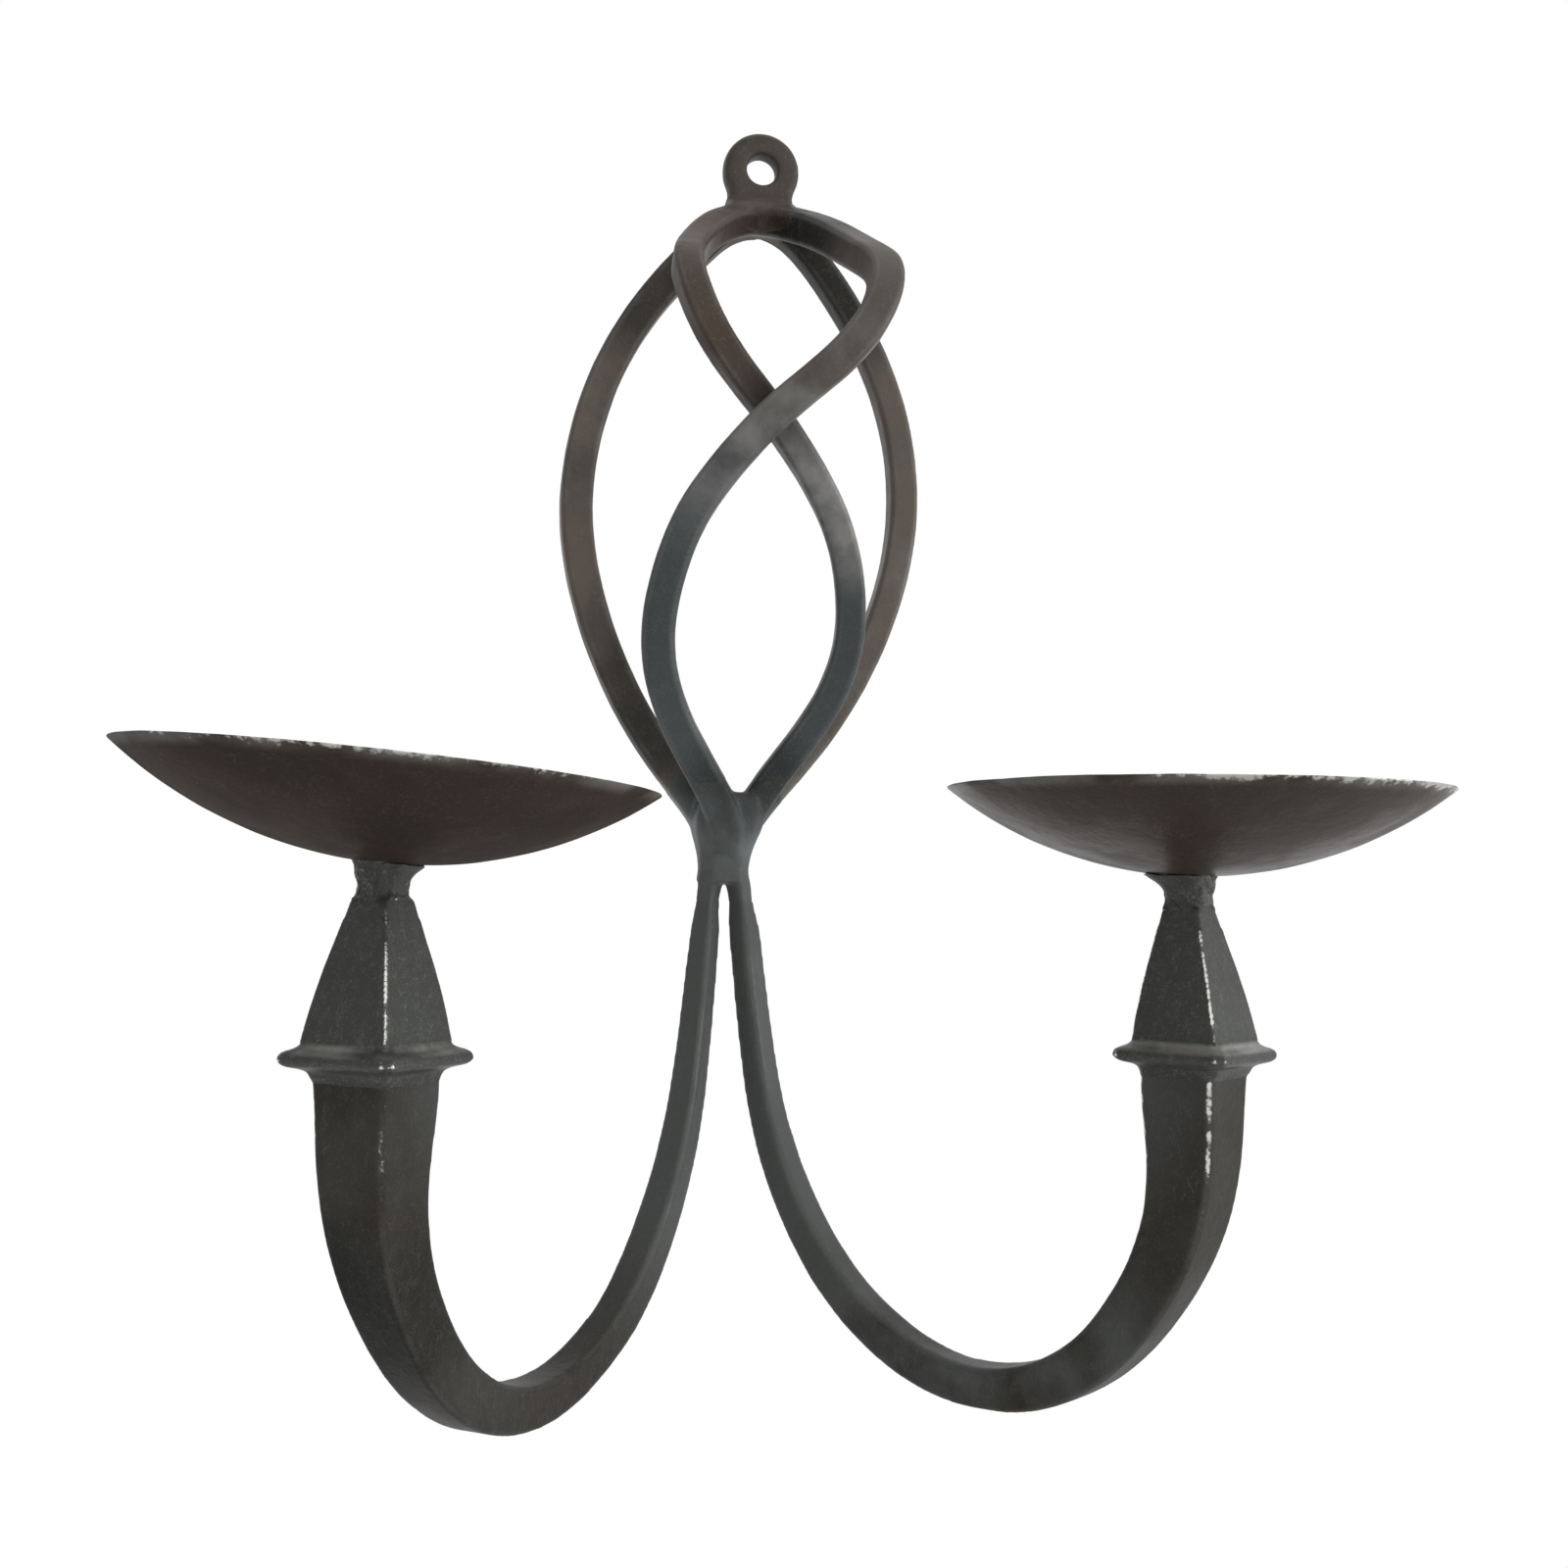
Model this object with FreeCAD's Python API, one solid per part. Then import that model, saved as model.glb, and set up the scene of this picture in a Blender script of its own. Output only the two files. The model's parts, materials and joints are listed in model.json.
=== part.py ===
import FreeCAD, Part
import math
import os

from FreeCAD import Rotation, Vector

# Two-arm candle wall light, forged from square bar. Millimetres, +Z up, front towards -Y.
# The origin is on the axis of the hanging hole, at the wall plane: the wall is y = 0.

# Cage bars: the left one and the front one at the crossing are stout, the other two are drawn slimmer
bar_side = 8.0
slim_bar_side = 7.2
bar_bevel = 0.9

# Hanging eye
eye_width = 19.0
eye_hole = 8.0
eye_thickness = 6.0
eye_neck_width = 16.0
eye_neck_drop = 9.0
eye_edge_bevel = 1.2

# Cage: its top is where the bars' middle lines meet, its foot is the waist of the foot weld
cage_top_drop = 13.0
cage_height = 161.0
cage_lean_deg = 2.4
rear_bow = 41.2
front_bow = 49.5
front_swing = 22.5
crossing_gap = 0.2

# Top weld, under the eye
top_weld_width = 17.4
top_weld_depth = 12.8
top_weld_height = 6.6
top_weld_bevel = 2.0

# Foot weld, where the cage ends and the arms begin
foot_weld_width = 16.6
foot_weld_depth = 18.0
foot_weld_rise = 17.0
foot_weld_drop = 7.0
foot_weld_bevel = 2.6
waist_width = 12.6
waist_depth = 12.6

# Arms
arm_heading_deg = 52.0
left_arm_reach = 130.0
right_arm_reach = 129.0
arm_drop = 111.7
arm_rise = 70.3
arm_root = 4.8
arm_end = 16.6
arm_seat_overrun = 1.5
# Size of the left arm's end, collar and block as a share of the right ones
left_stoutness_share = 1.06

# Collars
collar_width = 25.2
collar_foot = 16.9
collar_height = 6.8
collar_bevel = 1.5

# Pyramid blocks
pyramid_base = 18.7
pyramid_height = 26.0
pyramid_neck = 8.2
pyramid_bevel = 0.5
# How far the necks stand off the candle axes, towards the middle of the light
left_neck_drift = 0.4
right_neck_drift = 1.4

# Weld beads between the pyramid necks and the dishes
neck_weld_height = 6.1
neck_weld_flare = 13.4
neck_weld_waist = 8.0
neck_weld_drift = 2.0

# Dishes: caps of a sphere in sheet, hammered out in flats too small to see from afar
dish_width = 100.0
dish_depth = 17.5
dish_sheet = 1.8
dish_flats_round = 60
dish_flats_up = 6
left_dish_tilt_deg = 4.8
right_dish_tilt_deg = 0.0

# Prickets inside the dishes
pricket_height = 15.5
pricket_base = 5.2
pricket_shoulder = 3.8
pricket_shoulder_height = 2.0
pricket_point = 0.8
pricket_weld_height = 0.9
pricket_sides = 8

# Shapes of the curves. Down the cage: share of its height, then shares of the bow of each rear bar.
rear_bow_shares = [
    (0.00, 0.02, 0.02), (0.05, 0.34, 0.33), (0.12, 0.57, 0.55), (0.20, 0.77, 0.745), (0.30, 0.92, 0.905),
    (0.44, 1.00, 0.995), (0.58, 0.92, 0.93), (0.70, 0.74, 0.765), (0.80, 0.515, 0.545), (0.89, 0.24, 0.27),
    (0.935, 0.13, 0.155), (1.00, 0.03, 0.04),
]
# Share of the height, shares of the swing of the over bar and of the under bar, share of the bow
front_bow_shares = [
    (0.000, 0.06, 0.06, 0.04), (0.05, 0.57, 0.58, 0.33), (0.116, 0.89, 0.89, 0.64), (0.182, 0.975, 0.975, 0.92),
    (0.265, 0.73, 0.73, 1.00), (0.367, 0.00, 0.00, 0.84), (0.44, -0.45, -0.45, 0.77), (0.52, -0.80, -0.81, 0.70),
    (0.60, -0.97, -1.00, 0.62), (0.68, -1.01, -1.05, 0.53), (0.77, -0.83, -0.87, 0.42), (0.86, -0.43, -0.47, 0.31),
    (0.93, -0.10, -0.20, 0.19), (1.00, -0.04, -0.10, 0.06),
]
# Share of a front bar's length, then how far its faces are twisted about it there, in degrees
over_bar_twist_shares = [(0.00, 0.0), (0.60, 0.0), (0.80, -8.0), (0.90, -8.0), (1.00, 0.0)]
under_bar_twist_shares = [(0.00, 0.0), (0.42, 0.0), (0.60, 18.0), (0.95, 22.0), (1.00, 20.0)]

# Down the inner leg of an arm: shares of the reach and the drop. Up the outer leg: of the reach and the rise.
inner_leg_shares = [
    (0.025, -0.04), (0.05, 0.10), (0.088, 0.34), (0.131, 0.55), (0.214, 0.74), (0.34, 0.895), (0.595, 1.0),
]
outer_leg_shares = [(0.773, 0.079), (0.908, 0.306), (0.987, 0.61), (1.0, 0.85), (1.0, 1.0)]

# Along an arm: share of its length, then share of the way from the root size to the end size
arm_swell_shares = [
    (0.00, 0.00), (0.16, 0.08), (0.36, 0.19), (0.55, 0.28), (0.65, 0.395), (0.74, 0.51), (0.84, 0.65),
    (0.935, 0.87), (1.00, 1.00),
]
arm_bevel_share = 0.07

# Up a collar: share of its height, then share of the flare over its foot
collar_flare_shares = [
    (0.00, 0.00), (0.12, 0.04), (0.23, 0.22), (0.31, 0.60), (0.41, 0.90), (0.55, 1.00), (0.68, 0.90),
    (0.78, 0.60), (0.87, 0.36), (1.00, 0.22),
]

# Up a pyramid block: share of its height, then share of the way from the neck size to the base size
pyramid_taper_shares = [(0.00, 1.00), (0.14, 0.89), (0.41, 0.645), (0.68, 0.345), (1.00, 0.00)]

# Up a neck weld: share of its height, then share of the flare over the waist
neck_weld_shares = [(0.00, 0.03), (0.30, 0.00), (0.62, 0.16), (0.86, 0.52), (1.12, 1.00)]
neck_weld_bevel_share = 0.2

# Down the top weld: share of its height, shares of its width and depth
top_weld_shares = [(0.00, 0.99, 0.50), (0.26, 1.00, 0.90), (0.60, 1.00, 1.00), (1.00, 0.80, 0.86)]

# Down the foot weld to its waist: share of that height, shares of its width and depth
foot_weld_shares = [(0.00, 0.58, 0.95), (0.32, 1.00, 1.00), (0.58, 0.96, 0.89), (0.80, 0.83, 0.78)]
crotch_flare_share = 0.07

# The front bars cross where their swing is nothing
crossing_share = next(down for down, over, under, bow in front_bow_shares if over == 0)

# How many cross sections each swept bar and each lump of flats has
rear_bar_stations = 11
front_bar_stations = 25
arm_stations = 15
weld_stations = 9
collar_stations = 12
pyramid_stations = 7

wall_to_bars = bar_side / 2
waist_height = -cage_top_drop - cage_height
arm_low = waist_height - arm_drop
arm_heading = math.radians(arm_heading_deg)


def cage_axis_x(height):
    """Sideways place of the cage's axis, which leans and passes through the hanging hole."""
    return height * math.tan(math.radians(cage_lean_deg))


def cut_corners(centre, x_dir, y_dir, width, depth, bevel):
    """The eight points of a rectangle with cut corners, centred at a point."""
    half_w = width / 2
    half_d = depth / 2
    corners = [
        (half_w, half_d - bevel), (half_w - bevel, half_d), (bevel - half_w, half_d), (-half_w, half_d - bevel),
        (-half_w, bevel - half_d), (bevel - half_w, -half_d), (half_w - bevel, -half_d), (half_w, bevel - half_d),
    ]
    return [centre + x_dir * a + y_dir * b for a, b in corners]


def closed(points):
    """Closed outline of straight sides through points."""
    return Part.makePolygon(points + points[:1])


def flat_sided(rings):
    """Solid of flat faces between rings of as many points each, closed by the first and the last ring."""
    faces = [Part.Face(closed(rings[0])), Part.Face(closed(rings[-1]))]
    for lower, upper in zip(rings, rings[1:]):
        for index in range(len(lower)):
            corners = [lower[index - 1], lower[index], upper[index], upper[index - 1]]
            faces.append(Part.Face(closed(corners)))
    solid = Part.Solid(Part.makeShell(faces))
    if solid.Volume < 0:
        solid.reverse()
    return solid


def share_at(shares, position):
    """Value of a table of share pairs at a position, in straight steps."""
    for (low, low_value), (high, high_value) in zip(shares, shares[1:]):
        if position <= high:
            return low_value + (high_value - low_value) * (position - low) / (high - low)
    return shares[-1][1]


def smooth_path(points):
    """Edge along one smooth curve through points."""
    curve = Part.BSplineCurve()
    curve.interpolate(points)
    return curve.toShape()


def stations(path, count):
    """Point, direction and share of the length at even steps along a path."""
    for index in range(count):
        share = index / (count - 1)
        parameter = path.getParameterByLength(path.Length * share)
        yield path.valueAt(parameter), path.tangentAt(parameter), share


def swept_bar(path, count, facing, start, size_at, bevel_at, twist_at=lambda share: 0):
    """Square bar bent along a path.

    facing is the way that one face looks at the station numbered start, and twist_at is the angle in
    degrees by which the faces are twisted about the bar after that.
    """
    places = list(stations(path, count))
    facings = {}
    for steps in (range(start, count), range(start, -1, -1)):
        face_dir = facing
        for index in steps:
            along = places[index][1]
            face_dir = (face_dir - along * face_dir.dot(along)).normalize()
            facings[index] = face_dir
    sections = []
    for index, (point, along, share) in enumerate(places):
        face_dir = Rotation(along, twist_at(share)).multVec(facings[index])
        size = size_at(share)
        sections.append(closed(cut_corners(point, along.cross(face_dir), face_dir, size, size, bevel_at(share))))
    return Part.makeLoft(sections, True, False)


def main_solid(shape):
    """The largest solid of a cut shape."""
    return max(shape.Solids, key=lambda solid: solid.Volume)


def wall_lump(levels, bevel):
    """Weld lump of flats with its back on the wall. A level is a height, a width and a depth."""
    rings = []
    for place, along, share in stations(smooth_path([Vector(*level) for level in levels]), weld_stations):
        height, width, depth = place
        centre = Vector(cage_axis_x(height), -depth / 2, height)
        rings.append(cut_corners(centre, Vector(1, 0, 0), Vector(0, 1, 0), width, depth, bevel))
    return flat_sided(rings)


def square_lump(side, levels, count, bevel_at):
    """Square piece of flats at the end of an arm, turned with it.

    A level is a height, a width and how far the middle stands off the candle axis, towards the
    middle of the light.
    """
    direction = arm_direction(side)
    across = Vector(0, 0, 1).cross(direction)
    rings = []
    for place, along, share in stations(smooth_path([Vector(*level) for level in levels]), count):
        height, width, drift = place
        rings.append(cut_corners(Vector(-side * drift, 0, height), direction, across, width, width, bevel_at(width)))
    return flat_sided(rings)


def hanging_eye():
    """Round eye with a punched hole, on a neck that stands on the top weld."""
    radius = eye_width / 2
    half_neck = eye_neck_width / 2
    neck_top = -math.sqrt(radius ** 2 - half_neck ** 2)
    neck_x = cage_axis_x(-eye_neck_drop)
    left = Vector(-half_neck, 0, neck_top)
    right = Vector(half_neck, 0, neck_top)
    foot_right = Vector(neck_x + half_neck, 0, -eye_neck_drop)
    foot_left = Vector(neck_x - half_neck, 0, -eye_neck_drop)
    outline = Part.Wire([
        Part.Arc(left, Vector(0, 0, radius), right).toShape(),
        Part.LineSegment(right, foot_right).toShape(),
        Part.LineSegment(foot_right, foot_left).toShape(),
        Part.LineSegment(foot_left, left).toShape(),
    ])
    plate = Part.Face(outline).extrude(Vector(0, -eye_thickness, 0))
    rim = [edge for edge in plate.Edges if is_eye_rim(edge)]
    plate = plate.makeChamfer(eye_edge_bevel, rim)
    hole = Part.makeCylinder(eye_hole / 2, eye_thickness, Vector(0, 0, 0), Vector(0, -1, 0))
    return plate.cut(hole)


def is_eye_rim(edge):
    """Whether an edge of the eye's plate runs round its front, above the foot."""
    box = edge.BoundBox
    on_front = box.YMax < -eye_thickness / 2
    at_foot = box.ZLength < eye_edge_bevel / 2
    return on_front and not at_foot


def top_weld():
    """Lump under the eye that swells forward to take the four bars."""
    levels = [
        (-eye_neck_drop - top_weld_height * down, top_weld_width * wide, top_weld_depth * deep)
        for down, wide, deep in top_weld_shares
    ]
    return wall_lump(levels, top_weld_bevel)


def foot_weld():
    """Knot that draws in to a waist and opens again where the arms leave."""
    levels = [
        (waist_height + foot_weld_rise * (1 - down), foot_weld_width * wide, foot_weld_depth * deep)
        for down, wide, deep in foot_weld_shares
    ]
    levels.append((waist_height, waist_width, waist_depth))
    levels.append((waist_height - foot_weld_drop, waist_width * (1 + crotch_flare_share), waist_depth))
    return wall_lump(levels, foot_weld_bevel)


def rear_bar(side, thickness):
    """Bar bowed sideways in the wall plane. side is -1 on the left and 1 on the right."""
    points = []
    for down, left_out, right_out in rear_bow_shares:
        height = -cage_top_drop - cage_height * down
        out = left_out if side < 0 else right_out
        points.append(Vector(cage_axis_x(height) + side * rear_bow * out, -thickness / 2, height))
    return swept_bar(
        smooth_path(points), rear_bar_stations, Vector(0, -1, 0), 0,
        lambda share: thickness, lambda share: bar_bevel,
    )


def front_bar(side, thickness, layer):
    """Bar bowed forward that starts on one side, crosses over and ends on the other.

    layer is 1 for the bar in front at the crossing and -1 for the one behind it.
    """
    half_pitch = ((bar_side + slim_bar_side) / 2 + crossing_gap) / 2
    points = []
    for down, over_swing, under_swing, bow in front_bow_shares:
        height = -cage_top_drop - cage_height * down
        swing = over_swing if layer > 0 else under_swing
        layer_share = 1 - (2 * down - 1) ** 4
        forward = front_bow * bow + layer * half_pitch * layer_share
        across = cage_axis_x(height) + side * front_swing * swing
        points.append(Vector(across, -wall_to_bars - forward, height))
    path = smooth_path(points)
    heights = [point.z for point, along, share in stations(path, front_bar_stations)]
    crossing_height = -cage_top_drop - cage_height * crossing_share
    crossing = min(range(front_bar_stations), key=lambda index: abs(heights[index] - crossing_height))
    twist_shares = over_bar_twist_shares if layer > 0 else under_bar_twist_shares
    return swept_bar(
        path, front_bar_stations, Vector(0, -1, 0), crossing,
        lambda share: thickness, lambda share: bar_bevel, lambda share: share_at(twist_shares, share),
    )


def arm_direction(side):
    """Level direction of an arm from the cage's axis to its candle axis."""
    return Vector(side * math.cos(arm_heading), -math.sin(arm_heading), 0)


def arm_reach(side):
    """Level distance from the cage's axis to an arm's candle axis."""
    return left_arm_reach if side < 0 else right_arm_reach


def stoutness(side):
    """Factor on the sizes at an arm's end."""
    return left_stoutness_share if side < 0 else 1


def arm_axis(side):
    """Foot of an arm's candle axis, at height zero."""
    root = Vector(cage_axis_x(waist_height), -wall_to_bars, 0)
    return root + arm_direction(side) * arm_reach(side)


def arm(side):
    """Tapered bar down from the foot weld, round the U and up into the collar."""
    root = Vector(cage_axis_x(waist_height), -wall_to_bars, 0)
    direction = arm_direction(side)
    across = Vector(0, 0, 1).cross(direction)
    points = []
    for out, down in inner_leg_shares:
        points.append(root + direction * (arm_reach(side) * out) + Vector(0, 0, waist_height - arm_drop * down))
    for out, up in outer_leg_shares:
        points.append(root + direction * (arm_reach(side) * out) + Vector(0, 0, arm_low + arm_rise * up))
    points[-1] = points[-1] + Vector(0, 0, arm_seat_overrun)

    def size_at(share):
        return arm_root + (arm_end * stoutness(side) - arm_root) * share_at(arm_swell_shares, share)

    return swept_bar(
        smooth_path(points), arm_stations, across, 0,
        size_at, lambda share: size_at(share) * arm_bevel_share,
    )


def collar(side):
    """Square collar whose edge is round and coves into the block above and the arm below."""
    levels = []
    for up, flare in collar_flare_shares:
        width = collar_foot + (collar_width - collar_foot) * flare
        levels.append((collar_height * up, width * stoutness(side), 0))
    return square_lump(side, levels, collar_stations, lambda width: collar_bevel)


def neck_drift(side):
    """How far a block's neck stands off its candle axis."""
    return left_neck_drift if side < 0 else right_neck_drift


def pyramid(side):
    """Four-sided block with slightly full flanks, whose neck stands a little off the axis."""
    levels = []
    for up, wide in pyramid_taper_shares:
        width = pyramid_neck + (pyramid_base - pyramid_neck) * wide
        height = collar_height + pyramid_height * up
        levels.append((height, width * stoutness(side), neck_drift(side) * up))
    return square_lump(side, levels, pyramid_stations, lambda width: pyramid_bevel)


def neck_weld(side):
    """Weld bead that flares from the block's neck to the dish, more to the inner side."""
    foot = collar_height + pyramid_height
    levels = []
    for up, flare in neck_weld_shares:
        width = neck_weld_waist + (neck_weld_flare - neck_weld_waist) * flare
        levels.append((foot + neck_weld_height * up, width, neck_drift(side) + neck_weld_drift * flare))
    return square_lump(side, levels, weld_stations, lambda width: width * neck_weld_bevel_share)


def dish_foot():
    """Height of the dish's lowest outer point over the collar's foot."""
    return collar_height + pyramid_height + neck_weld_height


def dish_radius():
    """Radius of the dish's outer sphere."""
    half = dish_width / 2
    return (half ** 2 + dish_depth ** 2) / (2 * dish_depth)


def dish():
    """Sheet cap of a sphere in small flats, with a level flat in its middle."""
    radius = dish_radius()
    centre_height = dish_foot() + radius
    rim_angle = math.asin(dish_width / 2 / radius)
    out_and_back = [(radius, step) for step in range(1, dish_flats_up + 1)]
    out_and_back += [(radius - dish_sheet, step) for step in range(dish_flats_up, 0, -1)]
    rings = []
    for sphere, step in out_and_back:
        angle = rim_angle * step / dish_flats_up
        height = centre_height - sphere * math.cos(angle)
        rings.append(round_ring(sphere * math.sin(angle), height, dish_flats_round))
    return flat_sided(rings)


def round_ring(radius, height, count):
    """Level ring of evenly spaced points about the candle axis."""
    ring = []
    for index in range(count):
        turn = 2 * math.pi * index / count
        ring.append(Vector(radius * math.cos(turn), radius * math.sin(turn), height))
    return ring


def dish_floor():
    """Heights of the dish's flat middle, under and over the sheet."""
    radius = dish_radius()
    first_angle = math.asin(dish_width / 2 / radius) / dish_flats_up
    under = dish_foot() + radius * (1 - math.cos(first_angle))
    return under, under + dish_sheet * math.cos(first_angle)


def pricket():
    """Short eight-sided spike welded to the middle of the dish."""
    under, over = dish_floor()
    rings = []
    for height, width in (
        (over, pricket_base), (over + pricket_weld_height, pricket_base),
        (over + pricket_shoulder_height, pricket_shoulder), (over + pricket_height, pricket_point),
    ):
        rings.append(round_ring(width / 2, height, pricket_sides))
    return flat_sided(rings)


def on_arm(shape, side):
    """Put a piece that was made on the candle axis onto the end of an arm."""
    return shape.translated(arm_axis(side) + Vector(0, 0, arm_low + arm_rise))


def tipped(shape, side):
    """Tip a dish or its pricket towards the middle of the light, about the dish's lowest point."""
    tilt_deg = left_dish_tilt_deg if side < 0 else -right_dish_tilt_deg
    turned = shape.copy()
    turned.rotate(Vector(0, 0, dish_foot()), Vector(0, 1, 0), tilt_deg)
    return turned


def build():
    """All pieces, by name."""
    upper = top_weld()
    lower = foot_weld()
    pieces = {"hanging_eye": hanging_eye(), "top_weld": upper, "foot_weld": lower}
    bars = {
        "rear_left_bar": rear_bar(-1, bar_side),
        "rear_right_bar": rear_bar(1, slim_bar_side),
        "front_over_bar": front_bar(1, bar_side, 1),
        "front_under_bar": front_bar(-1, slim_bar_side, -1),
    }
    for name, bar in bars.items():
        pieces[name] = main_solid(bar.cut(upper).cut(lower))
    for side, word in ((-1, "left"), (1, "right")):
        seat = on_arm(collar(side), side)
        tray = tipped(dish(), side)
        pieces[word + "_arm"] = main_solid(arm(side).cut(lower).cut(seat))
        pieces[word + "_collar"] = seat
        pieces[word + "_pyramid"] = on_arm(pyramid(side), side)
        pieces[word + "_neck_weld"] = on_arm(main_solid(neck_weld(side).cut(tray)), side)
        pieces[word + "_dish"] = on_arm(tray, side)
        pieces[word + "_pricket"] = on_arm(tipped(pricket(), side), side)
    return pieces


def export(pieces):
    """Write one file for each piece and print its size."""
    os.makedirs("parts", exist_ok=True)
    for name, shape in pieces.items():
        solid = main_solid(shape)
        solid.exportStep(os.path.join("parts", name + ".step"))
        box = solid.BoundBox
        print(f"{name}: volume {solid.Volume:.0f}, valid {solid.isValid()}, "
              f"{box.XMin:.1f}..{box.XMax:.1f}, {box.YMin:.1f}..{box.YMax:.1f}, {box.ZMin:.1f}..{box.ZMax:.1f}")


export(build())
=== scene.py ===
"""Forged candle wall light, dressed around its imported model.

The light hangs from an eye, under which a cage of bowed square bars crosses and closes in a knot. Two drawn
arms leave the knot, curve up and carry collars, pyramid blocks and candle dishes. Lengths are metres.
"""

import json
import logging
import math
from collections.abc import Callable, Sequence
from dataclasses import dataclass
from enum import Enum

import bmesh
import bpy
import numpy as np
from mathutils import Matrix, Vector, kdtree, noise

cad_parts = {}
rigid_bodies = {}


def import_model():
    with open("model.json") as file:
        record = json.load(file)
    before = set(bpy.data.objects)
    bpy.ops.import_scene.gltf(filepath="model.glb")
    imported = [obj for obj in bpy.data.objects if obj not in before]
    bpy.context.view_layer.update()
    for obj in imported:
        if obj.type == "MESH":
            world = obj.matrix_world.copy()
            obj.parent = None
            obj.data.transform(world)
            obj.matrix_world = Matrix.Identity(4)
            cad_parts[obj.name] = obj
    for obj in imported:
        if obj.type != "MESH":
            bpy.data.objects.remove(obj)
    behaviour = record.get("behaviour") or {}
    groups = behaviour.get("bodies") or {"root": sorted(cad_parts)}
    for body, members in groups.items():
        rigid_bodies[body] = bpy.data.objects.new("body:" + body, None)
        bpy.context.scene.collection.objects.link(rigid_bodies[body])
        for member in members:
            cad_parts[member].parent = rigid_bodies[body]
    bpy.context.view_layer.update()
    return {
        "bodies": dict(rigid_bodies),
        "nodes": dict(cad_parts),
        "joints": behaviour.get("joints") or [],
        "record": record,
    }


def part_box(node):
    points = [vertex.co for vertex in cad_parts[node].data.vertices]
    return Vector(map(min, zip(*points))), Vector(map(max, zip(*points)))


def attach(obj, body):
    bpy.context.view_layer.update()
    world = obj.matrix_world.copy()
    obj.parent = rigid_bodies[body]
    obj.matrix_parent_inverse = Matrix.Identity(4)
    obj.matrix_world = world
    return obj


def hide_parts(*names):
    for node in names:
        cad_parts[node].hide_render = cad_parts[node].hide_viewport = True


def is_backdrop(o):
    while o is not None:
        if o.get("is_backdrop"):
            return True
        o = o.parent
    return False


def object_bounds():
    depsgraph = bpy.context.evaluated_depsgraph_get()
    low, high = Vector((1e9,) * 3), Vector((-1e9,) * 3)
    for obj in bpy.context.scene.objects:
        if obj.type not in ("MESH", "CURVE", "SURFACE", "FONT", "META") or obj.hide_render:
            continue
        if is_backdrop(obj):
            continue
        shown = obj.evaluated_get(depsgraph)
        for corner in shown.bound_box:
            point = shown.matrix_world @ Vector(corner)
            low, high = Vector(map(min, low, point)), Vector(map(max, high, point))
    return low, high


LOG = logging.getLogger("wall_light")
MM = 0.001
ACROSS = Vector((1.0, 0.0, 0.0))
AHEAD = Vector((0.0, 1.0, 0.0))
UP = Vector((0.0, 0.0, 1.0))
Height = Callable[[Vector], float]

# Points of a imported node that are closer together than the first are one. Cuts and spins go by the second
MERGE = 0.002 * MM
CUT_SLACK = 0.001 * MM
# A cut across a piece stays clear of its sides by this
MARGIN = Vector((1 * MM, 1 * MM, 0.0))
# Ends of pieces are flat to within this
FLAT = 0.05 * MM
# Edges along a rounded corner bend by this much, and points along them lie this close together
CORNER_BEND = (math.radians(22), math.radians(78))
CORNER_STEP = 0.4 * MM
# Tones turn to the knot's own around this place, from so far within a finish's reach to so far beyond it
TURN_PLACE = (-0.004, -0.05, -0.17)
TURN_WITHIN = 18 * MM
TURN_BEYOND = 20 * MM
# A bend under this share of a sharp one leaves no ridge or cove, and coves count more by this gain
FAINT_SHARE = 0.25
COVE_GAIN = 2.0
# Dust stays on an upright surface by the first share, and by more as the surface looks up
UPRIGHT_SHARE = 0.35
LOOKS_UP_GAIN = 1.3
# On hammered iron the slow wave and the fine grain are this many blows long, and the grain this share as deep
WAVE_BLOWS = 2.2
GRAIN_BLOWS = 0.3
GRAIN_SHARE = 0.12
# Steps of the noise for each unit of a seed
SEED_STEPS = (3.1, 5.7, 2.3)


def mm(*lengths: float) -> tuple[float, ...]:
    """Lengths given in millimetres, as metres."""
    return tuple(length * MM for length in lengths)


class Side(Enum):
    """The two arms, by the side they stand on for someone who faces the light."""

    LEFT = "left"
    RIGHT = "right"


class Tone(Enum):
    """Colours of blackened iron, as linear red, green and blue."""

    WARM = (0.094, 0.077, 0.064)
    UMBER = (0.052, 0.046, 0.039)
    MAROON = (0.047, 0.034, 0.028)
    RUSSET = (0.072, 0.052, 0.042)
    SLATE = (0.066, 0.077, 0.080)
    CHARCOAL = (0.058, 0.062, 0.057)
    SOOT = (0.034, 0.029, 0.024)
    # Black of the painted shade patches
    BLACK = (0.014, 0.015, 0.013)
    LEAD = (0.088, 0.094, 0.090)
    TAN = (0.125, 0.102, 0.086)
    # Steel grey of the painted highlight on the knot
    STEEL = (0.140, 0.155, 0.163)
    CHALK = (0.19, 0.19, 0.175)
    # Rubbed metal, and also the colour of the painted sheen and highlight on the bars
    RUBBED_AND_SHEEN = (0.24, 0.235, 0.225)
    DUST = (0.42, 0.41, 0.38)
    BRIGHT = (0.62, 0.61, 0.58)


# Node trees


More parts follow.
